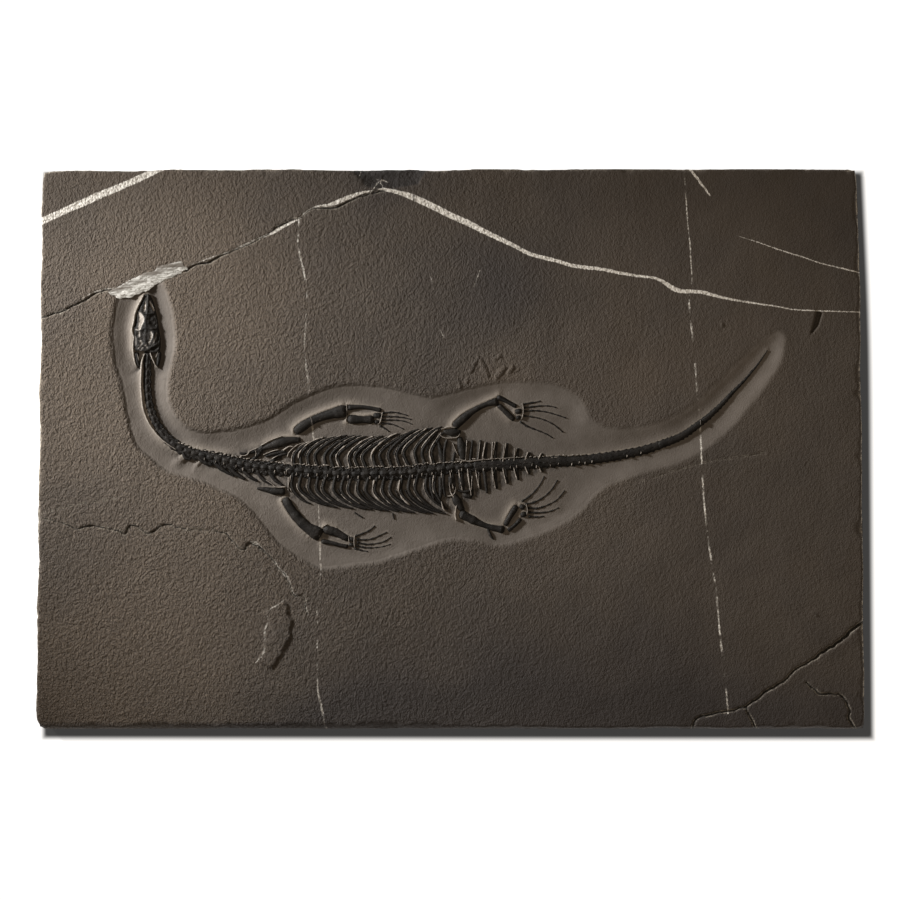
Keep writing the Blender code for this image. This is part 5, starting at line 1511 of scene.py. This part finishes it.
lay_bone("neck", [*vertebrae(NECK, NECK_BONES, 401),
                  *bars(NECK_RIBS, 450, rise=0.5, lift=0.15, columns=7)], DUSTY_BONE)
lay_bone("backbone_and_ribs", [
    *vertebrae(TRUNK, TRUNK_BONES, 501),
    *bars(RIBS, 550, rise=0.5, lift=0.3, spacing=0.6),
    *bars(PROCESSES[:HIP_PROCESSES], 610, rise=0.4, lift=0.2, columns=7)], DUSTY_BONE)
lay_bone("tail", [
    *vertebrae(TAIL[:7], TAIL_BONES[0], 601, worn_flat=0.45),
    *vertebrae(TAIL[6:], TAIL_BONES[1], 631, worn_flat=1.0),
    *bars(PROCESSES[HIP_PROCESSES:], 650, rise=0.4, lift=0.2, columns=7)], DUSTY_BONE)
print("neck, trunk and tail are laid")

# %% [markdown]
# ## The skull
#
# The skull is a long wedge, flattened, with two nostrils, two eye sockets and two openings
# behind them. It is one relief: a dome over its outline, ridges along the bone bars between the
# openings, and hollows where the openings are, filled with rock.

# %% Skull relief
# Hollows that pale rock fills, as outlines, and narrow ones as lines (x, y, half width).
FILLED = {
    "left_orbit": [(-118.3, 52.1), (-117.4, 51.8), (-116.5, 50.5), (-116.1, 49.3),
                   (-116.4, 48.2), (-117.1, 46.8), (-117.6, 45.4), (-118.3, 45.1),
                   (-118.6, 46.4), (-118.3, 48.2), (-118.1, 50.0), (-118.5, 51.4)],
    "right_temple": [(-113.8, 45.0), (-112.9, 43.6), (-113.0, 42.5), (-113.8, 41.1),
                     (-114.2, 39.8), (-114.6, 39.8), (-114.1, 41.8), (-113.7, 43.0),
                     (-113.9, 44.3)],
    "left_nostril": [(-115.7, 56.4), (-115.5, 54.6), (-115.6, 53.2), (-116.2, 51.9),
                     (-116.4, 53.7), (-116.0, 55.2)],
}
SLITS = {
    "right_nostril": [(-114.2, 56.2, 0.1), (-113.5, 54.8, 0.26), (-112.6, 52.7, 0.24)],
    "orbit_bar": [(-119.4, 45.4, 0.12), (-117.9, 45.2, 0.12)],
    "left_temple": [(-118.1, 44.5, 0.25), (-118.1, 42.7, 0.2)],
    "left_temple_low": [(-117.6, 41.1, 0.3), (-117.2, 40.0, 0.25)],
    "edge_loop": [(-119.8, 42.9, 0.14), (-119.4, 41.8, 0.14), (-119.4, 39.5, 0.14)],
    "front_streak": [(-118.6, 38.2, 0.12), (-117.4, 39.5, 0.12)],
    "rear_streak": [(-117.9, 37.3, 0.12), (-116.7, 38.6, 0.12)],
    "knob": [(-116.4, 39.2, 0.1), (-115.6, 39.6, 0.12), (-115.0, 38.4, 0.12)],
    "right_bar": [(-111.6, 44.0, 0.2), (-112.2, 41.8, 0.3), (-112.8, 40.4, 0.2)],
    "right_edge": [(-109.8, 44.5, 0.1), (-109.6, 41.6, 0.2), (-109.8, 39.4, 0.15)],
}
SLIT_PALE = {"right_bar": 0.3, "right_edge": 0.35, "knob": 0.45, "edge_loop": 0.35,
             "front_streak": 0.5, "rear_streak": 0.5, "left_temple": 0.7, "left_temple_low": 0.7}
HOLLOWS = {  # unfilled ones, (x, y, radius across, radius along, turn in degrees)
    "right_orbit": (-112.8, 48.6, 1.5, 2.5, 12), "left_cheek": (-119.3, 48.6, 0.5, 2.8, -4),
    "brain": (-112.2, 38.2, 1.4, 0.8, 20), "cheek": (-110.8, 43.0, 0.4, 2.4, -4),
}
RIDGES = [
    [(-114.7, 58.4), (-114.8, 55.0), (-115.1, 51.5), (-115.6, 48.5), (-115.5, 45.5),
     (-115.8, 42.5), (-115.6, 39.5)],
    [(-119.2, 52.5), (-119.8, 48.0), (-119.6, 44.6), (-119.8, 40.5), (-119.4, 36.8)],
    [(-111.0, 52.0), (-110.4, 47.0), (-110.4, 43.5), (-110.3, 39.5), (-110.4, 36.8)],
    [(-119.0, 45.0), (-117.0, 45.4), (-115.6, 46.2), (-113.6, 45.6), (-111.0, 46.0)],
    [(-118.9, 39.9), (-117.0, 38.6), (-115.6, 37.6), (-113.8, 38.4), (-111.4, 39.6)],
    [(-112.6, 44.0), (-112.3, 40.4)], [(-117.2, 52.2), (-115.6, 51.4), (-112.4, 51.6)],
    [(-118.7, 38.8), (-117.4, 37.4), (-116.6, 38.6), (-117.8, 39.4), (-118.7, 38.8)],
]

SKULL_COLUMNS = 41
SKULL_SINK = 0.9
RIDGE_HIGH, RIDGE_WIDE = 0.30, 0.38
FILLED_DEEP, SLIT_DEEP, HOLLOW_DEEP = 0.3, 0.25, 0.5


def skull_relief(x, y):
    """Ridges and hollows on the skull, and how much pale rock fills each place."""
    rock, relief = np.zeros(x.shape), 0.16 * clouds(x, y, 1.0, 701, 3)
    for ridge in RIDGES:
        gap = nearest_on_line(x, y, smooth_line(ridge, 0.4), 3.0)[0]
        relief += RIDGE_HIGH * np.exp(-(gap / RIDGE_WIDE) ** 2)
    for outline in FILLED.values():
        inside = soft_step(inside_outline(x, y, outline), -0.12, 0.2)
        relief -= FILLED_DEEP * inside
        rock = np.maximum(rock, inside)
    for name, slit in SLITS.items():
        inside = soft_step(-nearest_on_line(x, y, slit, 3.0)[0], -0.15, 0.1)
        relief -= SLIT_DEEP * inside
        rock = np.maximum(rock, inside * SLIT_PALE.get(name, 0.9))
    for ox, oy, wide, tall, turn in HOLLOWS.values():
        c, s = math.cos(math.radians(turn)), math.sin(math.radians(turn))
        u = ((x - ox) * c + (y - oy) * s) / wide
        v = (-(x - ox) * s + (y - oy) * c) / tall
        relief -= HOLLOW_DEEP * soft_step(1.2 - np.hypot(u, v), 0, 0.5)
    return relief, rock


def skull_shape():
    x, y, half = smooth_line(SKULL, 0.22)[::-1].T
    across = np.cos(np.linspace(0, math.pi, SKULL_COLUMNS))
    dome = (1 - np.abs(across) ** 3.4) ** (1 / 3.4)
    px, py = across_line(x, y, half, across)
    relief, rock = skull_relief(px.ravel(), py.ravel())
    bed = bed_level(px.ravel(), py.ravel()).reshape(px.shape)
    crown = 0.35 + 0.17 * half[:, None]
    pz = bed - SKULL_SINK + (SKULL_SINK + crown) * dome + relief.reshape(px.shape) * dome
    rings = np.stack([px, py, np.minimum(pz, TOP)], axis=2)
    return rings.reshape(-1, 3), ring_faces(*rings.shape[:2]), rock


skull_points, skull_faces, skull_rock = skull_shape()
skull_mesh = bone_mesh("fossil_skull", [(skull_points, skull_faces)])
add_reading(skull_mesh, "rock", skull_rock)
dress("fossil_skull", skull_mesh, DUSTY_BONE, "bone", "skull")
for name, line in JAWS.items():
    lay_bone(name, [bar(line, rise=0.6, lift=0.3)], BONE)
print("openings in the skull:", len(FILLED) + len(SLITS) + len(HOLLOWS))

# %% [markdown]
# ## Loose bones, and rock left between the bones
#
# Round the shoulders and hips lie small bones and plates that have slid out of place. Between
# all the bones the needle has left thin ridges of rock. The low lamp catches them, and they draw
# the skeleton's bright outline, so they are real bars too. Most stand on the side of a bone that
# faces the lamp, and their pale colour is partly the rock's own and partly a painted highlight.

# %% Small bones
SMALL_BONES = [
    [(-79.6, -1.6, 0.5), (-78.0, -1.9, 0.6)],
    [(-73.2, -2.4, 0.9), (-72.2, -0.6, 1.1), (-71.4, 0.6, 0.9)],
    [(-66.6, -3.2, 0.6), (-64.4, -2.3, 0.75), (-62.3, -1.7, 0.6)],
    [(-60.9, -8.9, 1.1), (-60.2, -8.6, 1.1)],
    [(-4.6, 3.2, 0.7), (-3.6, -0.4, 0.95), (-3.0, -3.8, 0.8)],
    [(-7.4, -11, 0.7), (-7.2, -15, 0.75), (-6.2, -19, 0.6)],
    [(-3.6, -11, 0.9), (-3.4, -15.5, 1.0), (-3.8, -18.8, 0.6)],
    [(0.4, -11, 1.1), (0.4, -13.6, 1.0)], [(4.2, -10.5, 1.3), (4.6, -14, 1.1)],
    [(3.2, -15.8, 0.5), (6.0, -16.2, 0.7), (8.6, -15.6, 0.5)],
    [(5.8, -17.6, 0.9), (7.8, -18.2, 0.8)], [(-36.2, -24.2, 0.3), (-33.4, -26.0, 0.35)],
    [(-21.8, -24.5, 0.25), (-21.3, -26.6, 0.25)],
    [(14.5, -30.7, 0.5), (15.5, -33.0, 0.55), (16.4, -34.2, 0.3)],
]
BETWEEN_RIBS = (1, 5, 8, 12, 13, 16)  # thinner ribs show in these gaps

for number in BETWEEN_RIBS:
    for stations, side in ((UPPER_RIBS, 1), (LOWER_RIBS, -1)):
        middle = rib_line(stations, number + 0.5, side)
        SMALL_BONES.append([(x, y, half * 0.42) for x, y, half in middle[2:-1]])
small = bars(SMALL_BONES, 900, rise=0.45, lift=0.24)
dress("fossil_small_bones", bone_mesh("fossil_small_bones", small), DUSTY_BONE, "bone")
print("small bones:", len(SMALL_BONES))

# %% Ridges of rock
ROCK_RIDGES = [
    # along the skull's left side and behind it
    [(-116.5, 58.4, 0.35), (-117.6, 56.2, 0.45), (-118.8, 53.9, 0.48), (-119.5, 52.1, 0.42),
     (-119.9, 50.5, 0.38), (-120.3, 48.0, 0.42), (-120.9, 45.2, 0.5), (-120.6, 43.8, 0.45),
     (-120.2, 42.4, 0.32), (-120.4, 40.6, 0.38), (-120.5, 38.4, 0.4), (-120.3, 36.1, 0.4),
     (-119.9, 33.4, 0.35), (-119.1, 31.1, 0.2)],
    [(-116.1, 36.2, 0.15), (-116.9, 33.8, 0.4), (-117.2, 31.5, 0.5), (-117.4, 28.1, 0.5),
     (-117.5, 24.0, 0.48), (-117.2, 20.0, 0.46), (-116.7, 15.6, 0.42), (-115.2, 11.3, 0.38),
     (-113.0, 7.6, 0.34), (-110.2, 4.3, 0.3), (-107.2, 1.8, 0.24), (-104.2, -0.2, 0.15)],
    [(-114.0, 36.6, 0.18), (-113.1, 34.3, 0.3), (-112.0, 32.0, 0.22), (-111.1, 30.9, 0.1)],
    [(-111.0, 37.0, 0.14), (-111.7, 35.0, 0.2)], [(-118.8, 35.9, 0.15), (-118.3, 33.8, 0.18)],
    # shoulders
    [(-79.5, -2.6, 0.18), (-77.3, -2.3, 0.2), (-76.0, -0.8, 0.15), (-73.4, 0.3, 0.18)],
    [(-74.2, 0.1, 0.15), (-73.7, -1.6, 0.18), (-74.0, -2.8, 0.12)],
    [(-71.9, 1.3, 0.15), (-69.8, 2.5, 0.18), (-67.6, 3.6, 0.2), (-64, 4.9, 0.15)],
    [(-70.8, -2.1, 0.15), (-67.5, -0.8, 0.2), (-65.2, -0.3, 0.18)],
    [(-67.4, -3.6, 0.25), (-65.2, -2.4, 0.12)],
    [(-63.2, -0.4, 0.35), (-61.2, 0.9, 0.3), (-59.5, 0.9, 0.25)],
    [(-61.8, -2.9, 0.2), (-61.1, -1.2, 0.22), (-58.4, 1.3, 0.2), (-55.5, 2.4, 0.12)],
    [(-69.9, -11.8, 0.15), (-67.6, -13.3, 0.2), (-66.1, -14.5, 0.26), (-62.6, -14.4, 0.24)],
    [(-61.4, -11.0, 0.28), (-61.5, -15.8, 0.16)],
    [(-62.2, -9.6, 0.14), (-62.1, -8.0, 0.18), (-60.8, -7.3, 0.15)],
    # hips
    [(-4.1, 5.7, 0.2), (-2.8, 4.6, 0.22), (-0.8, 4.1, 0.26), (2.5, 4.4, 0.2), (3.8, 5.7, 0.12)],
    [(-3.2, 7.6, 0.2), (-0.5, 8.3, 0.2), (2.4, 8.2, 0.15)], [(1.0, 2.2, 0.12), (3.0, -2.4, 0.12)],
    [(2.3, -3.7, 0.14), (5.3, -4.4, 0.22), (7.6, -4.7, 0.3), (11.4, -4.2, 0.2),
     (19, -3.6, 0.16), (27, -3.2, 0.1)],
    [(-0.3, -12.8, 0.12), (0.2, -16.3, 0.18), (1.0, -17.6, 0.4), (2.5, -20.6, 0.26),
     (2.2, -22.7, 0.26), (2.0, -25.2, 0.34), (2.4, -27, 0.3)],
    [(2.2, -14.6, 0.1), (1.8, -16.6, 0.15), (0.8, -17.7, 0.35), (-0.8, -17.9, 0.15)],
    [(-3.3, -20.1, 0.15), (-2.4, -22.9, 0.35), (-1.2, -23.6, 0.12)],
    [(6.4, 3.2, 0.18), (5.9, -4.2, 0.18)], [(11.4, 2.6, 0.14), (10.6, -4.0, 0.14)],
    [(16.2, 2.5, 0.18), (15.8, -3.8, 0.16)], [(8.4, -10.4, 0.18), (8.1, -15.4, 0.16)],
    [(20.6, 1.8, 0.1), (20.1, -3.4, 0.12)], [(24.8, 0.2, 0.1), (24.4, -3.2, 0.12)],
    [(11.0, -9.0, 0.12), (10.8, -14.8, 0.12)], [(16.4, -8.6, 0.12), (16.4, -13.6, 0.12)],
    # wrists and ankles, and the vein that crosses the right humerus
    [(-25.7, 13.9, 0.16), (-26.1, 12.0, 0.18), (-26.5, 10.4, 0.18), (-27.4, 9.3, 0.12)],
    [(-39.3, 17.0, 0.12), (-39.2, 13.5, 0.16), (-39.6, 10.6, 0.12)],
    [(27.4, 17.4, 0.14), (27.9, 15.4, 0.18), (27.7, 13.0, 0.18), (27.1, 11.2, 0.12)],
    [(-36.2, -33.0, 0.15), (-36.5, -35.0, 0.18), (-36.3, -37.2, 0.15)],
    [(-38.6, -33.2, 0.12), (-38.4, -35.2, 0.15)], [(-48.4, -29.6, 0.14), (-46.8, -28.6, 0.16)],
    [(29.0, -21.0, 0.15), (29.4, -22.8, 0.18), (29.2, -24.8, 0.15)],
]
VEIN_OVER_BONES = [  # the front vein where it climbs over the arms, the rear one over the tail
    [(-53.0, 12.2, 0.1), (-52.6, 10.8, 0.12), (-52.3, 9.2, 0.1)],
    [(-49.7, -33.4, 0.1), (-49.5, -30.4, 0.1)], [(95.1, 11.0, 0.1), (95.3, 9.2, 0.1)],
]


# %% Pale rock, partly a painted highlight
def pale_rock_and_highlight():
    graph = Graph("pale_rock_and_highlight")
    # Paler than the rock round it: partly the rock's own colour, partly a painted highlight.
    patch = graph.ramp(graph.noise(graph.millimetres(), 0.8, 3), 0.35, 0.65)
    colour = graph.blend(patch, rgb(0.16, 0.14, 0.12), rgb(0.30, 0.27, 0.24))
    return graph.finish(colour, 0.85, 0.3)


# %% Pale bars on the lamp's side, painted as highlights, and spots
RIB_EDGES = ((0.06, 0.12, 0.95), (-0.06, 0.1, 0.62))  # offset, first and last share along it
EDGED_SPINES = ((TRUNK, 1.15), (NECK[7:], 1.5), (TAIL[:4], 1.6))  # line, and step between crumbs
SPOTTED_SPINES = ((TRUNK, 3.9, 0.15), (NECK[9:], 3.9, 0.2), (TAIL[:6], 2.6, 0.6))  # and skipped


def beside(line, offset, half):
    """A thin line that runs along another one, offset to its left."""
    line = smooth_line(line, 1.0)
    ahead = headings(line)
    left = np.stack([-ahead[:, 1], ahead[:, 0]], axis=1)
    places = line[:, :2] + left * (line[:, 2:3] + abs(offset)) * np.sign(offset)
    return np.column_stack([places, np.full(len(line), half)])


def seam_crumbs(seed):
    """Broken pale bars on the lamp's side of the ribs and the backbone, as painted highlights."""
    random = np.random.default_rng(seed)
    lines = []
    for number, line in enumerate(RIBS):
        offset, start, stop = RIB_EDGES[number % 2]
        edge = beside(line, offset, 0.0)
        bright = random.uniform(-0.03, 0.24) + 0.06 * (number // 2 % 3 == 1)
        first, last = int(len(edge) * start), int(len(edge) * stop)
        if random.random() < 0.5:
            first += int(random.uniform(0, 0.5) * (last - first))
        piece = edge[first:last]
        if bright < 0.02 or len(piece) < 4:
            continue
        piece[:, 2] = bright * (1 + 0.5 * random.normal(size=len(piece))).clip(0.25, 2.0)
        lines.append(piece)
    for spine, step in EDGED_SPINES:
        for x, y, half in smooth_line(spine, step):
            top = y + half * 0.98 + random.normal(0, 0.18)
            long = random.uniform(0.2, 0.6)
            lines.append([(x - long, top + random.normal(0, 0.15), random.uniform(0.1, 0.3)),
                          (x + long, top + random.normal(0, 0.15), random.uniform(0.1, 0.28))])
    return lines


def pale_ovals(seed):
    """Short pale spots on the backs of the vertebrae."""
    random = np.random.default_rng(seed)
    lines = []
    for spine, step, skipped in SPOTTED_SPINES:
        for x, y, half in smooth_line(spine, step):
            x, y = x + random.normal(0, 0.3), y - 0.4 * half + random.normal(0, 0.25)
            wide = random.uniform(0.1, 0.24)
            if random.random() > skipped:
                lines.append([(x, y - 0.24 * half, wide), (x + 0.1, y + 0.1 * half, wide)])
    return lines


def process_edges(seed):
    """Pale bars on the lamp's side of most processes, as painted highlights, each with its number.
    """
    random = np.random.default_rng(seed)
    for number, line in enumerate(PROCESSES):
        if random.random() < 0.75:
            edge = beside(line, 0.05 if line[1][1] > line[0][1] else -0.05, 0.24)
            edge[:, 2] *= 0.6 + 0.7 * random.random(len(edge))
            yield number, edge[1:]


# %% Lay the ridges of rock
RIDGE_LOOK = {"rise": 1.0, "columns": 7}

ridges = bars(ROCK_RIDGES, 1200, lift=0.66, rough=0.12, **RIDGE_LOOK)
ridges += bars(seam_crumbs(77), 1300, lift=0.52, spacing=0.6, rough=0.1, **RIDGE_LOOK)
ridges += bars(pale_ovals(78), 1400, lift=0.86, rough=0.1, **RIDGE_LOOK)
ridges += bars(VEIN_OVER_BONES, 1500, lift=1.1, rough=0.1, **RIDGE_LOOK)
ridges += [bar(edge, lift=0.5, spacing=0.6, rough=0.1, seed=1600 + number, **RIDGE_LOOK)
           for number, edge in process_edges(79)]
dress("ridges_of_rock", bone_mesh("ridges_of_rock", ridges), pale_rock_and_highlight(), "matrix")
print("ridges of rock:", len(ridges))

# %% [markdown]
# ## The calcite seam
#
# Above the snout an old crack has opened and filled with white calcite. Its crystals lie in long
# fibres, and it has broken along them, so the seam is a relief of fine steps, whiter below and
# greyer above.

# %% Calcite
CALCITE_GREY, CALCITE_WHITE = rgb(0.27, 0.26, 0.235), rgb(0.60, 0.59, 0.56)
CALCITE_DARKER, CALCITE_BROWN = rgb(0.115, 0.10, 0.085), rgb(0.115, 0.098, 0.08)


def calcite():
    graph = Graph("white_calcite")
    along = graph.millimetres(turn=math.radians(-22), stretch=(0.16, 1.4, 1))
    fibre = graph.noise(along, 0.55, 4, 0.7)
    colour = graph.blend(graph.ramp(fibre, 0.36, 0.62), CALCITE_GREY, CALCITE_WHITE)
    # Darker in patches over the seam's upper half.
    darker_above = graph.times(graph.reading("grey"),
                         graph.ramp(graph.noise(along, 2.0, 3), 0.35, 0.6, 0.3, 1.0))
    colour = graph.blend(darker_above, colour, CALCITE_DARKER)
    spots = graph.ramp(graph.noise(graph.millimetres(), 1.0, 4, 0.7), 0.52, 0.62, 0, 0.75)
    colour = graph.blend(spots, colour, CALCITE_BROWN)
    return graph.finish(colour, graph.ramp(fibre, 0.3, 0.7, 0.35, 0.65), height=fibre,
                        relief=(0.7, 0.2))


# %% Seam
SEAM_ROWS, SEAM_COLUMNS = 120, 26
SEAM_FOOT, SEAM_LOW, SEAM_BASE, SEAM_HIGH = 17.2, 17.5, 17.93, 18.3


def seam_edge(outline, seed):
    """One long edge of the seam, read at even steps and chipped."""
    line = smooth_line(outline, 0.3)
    at = np.linspace(0, len(line) - 1, SEAM_ROWS)
    edge = np.stack([np.interp(at, np.arange(len(line)), line[:, k]) for k in (0, 1)], axis=1)
    chipped = clouds(edge[:, 0], seed, 1.1, seed, 2)
    edge[2:-2, 1] += 0.3 * np.round(chipped[2:-2] * 2) / 2
    return edge


def seam_shape():
    share = np.linspace(0, 1, SEAM_COLUMNS)
    top, bottom = seam_edge(SEAM_TOP, 821), seam_edge(SEAM_BOTTOM, 823)
    plan = top[:, None] * (1 - share[:, None]) + bottom[:, None] * share[:, None]
    x, y = plan[..., 0], plan[..., 1]
    lengthwise, crosswise = x * 0.92 + y * 0.38, y * 0.92 - x * 0.38
    z = SEAM_BASE + 0.07 * clouds(lengthwise * 0.4, crosswise * 1.8, 1.0, 801, 3)
    z = z + 0.10 * np.round(clouds(lengthwise * 0.2, crosswise, 2.0, 811) * 3) / 3
    z = z + 0.14 * soft_step(np.minimum(share, 1 - share) * 2, 0, 0.3)
    z = np.clip(z + 0.10 * soft_step(share, 0.45, 0.6), SEAM_LOW, SEAM_HIGH)
    face = np.stack([x, y, z], axis=2)
    foot = face[:, [0, -1]].copy()
    foot[..., 2] = SEAM_FOOT
    rings = np.concatenate([foot[:, :1], face, foot[:, 1:]], axis=1)
    grey = 1 - soft_step(np.pad(share, 1, mode="edge"), 0.4, 0.62)
    return rings.reshape(-1, 3), ring_faces(*rings.shape[:2]), np.tile(grey, SEAM_ROWS)


seam_points, seam_faces, seam_grey = seam_shape()
seam_mesh = bone_mesh("fibrous_calcite", [(seam_points, seam_faces)])
add_reading(seam_mesh, "grey", seam_grey)
dress("fibrous_calcite", seam_mesh, calcite(), "calcite", "calcite_seam")
print("points on the seam:", len(seam_points))
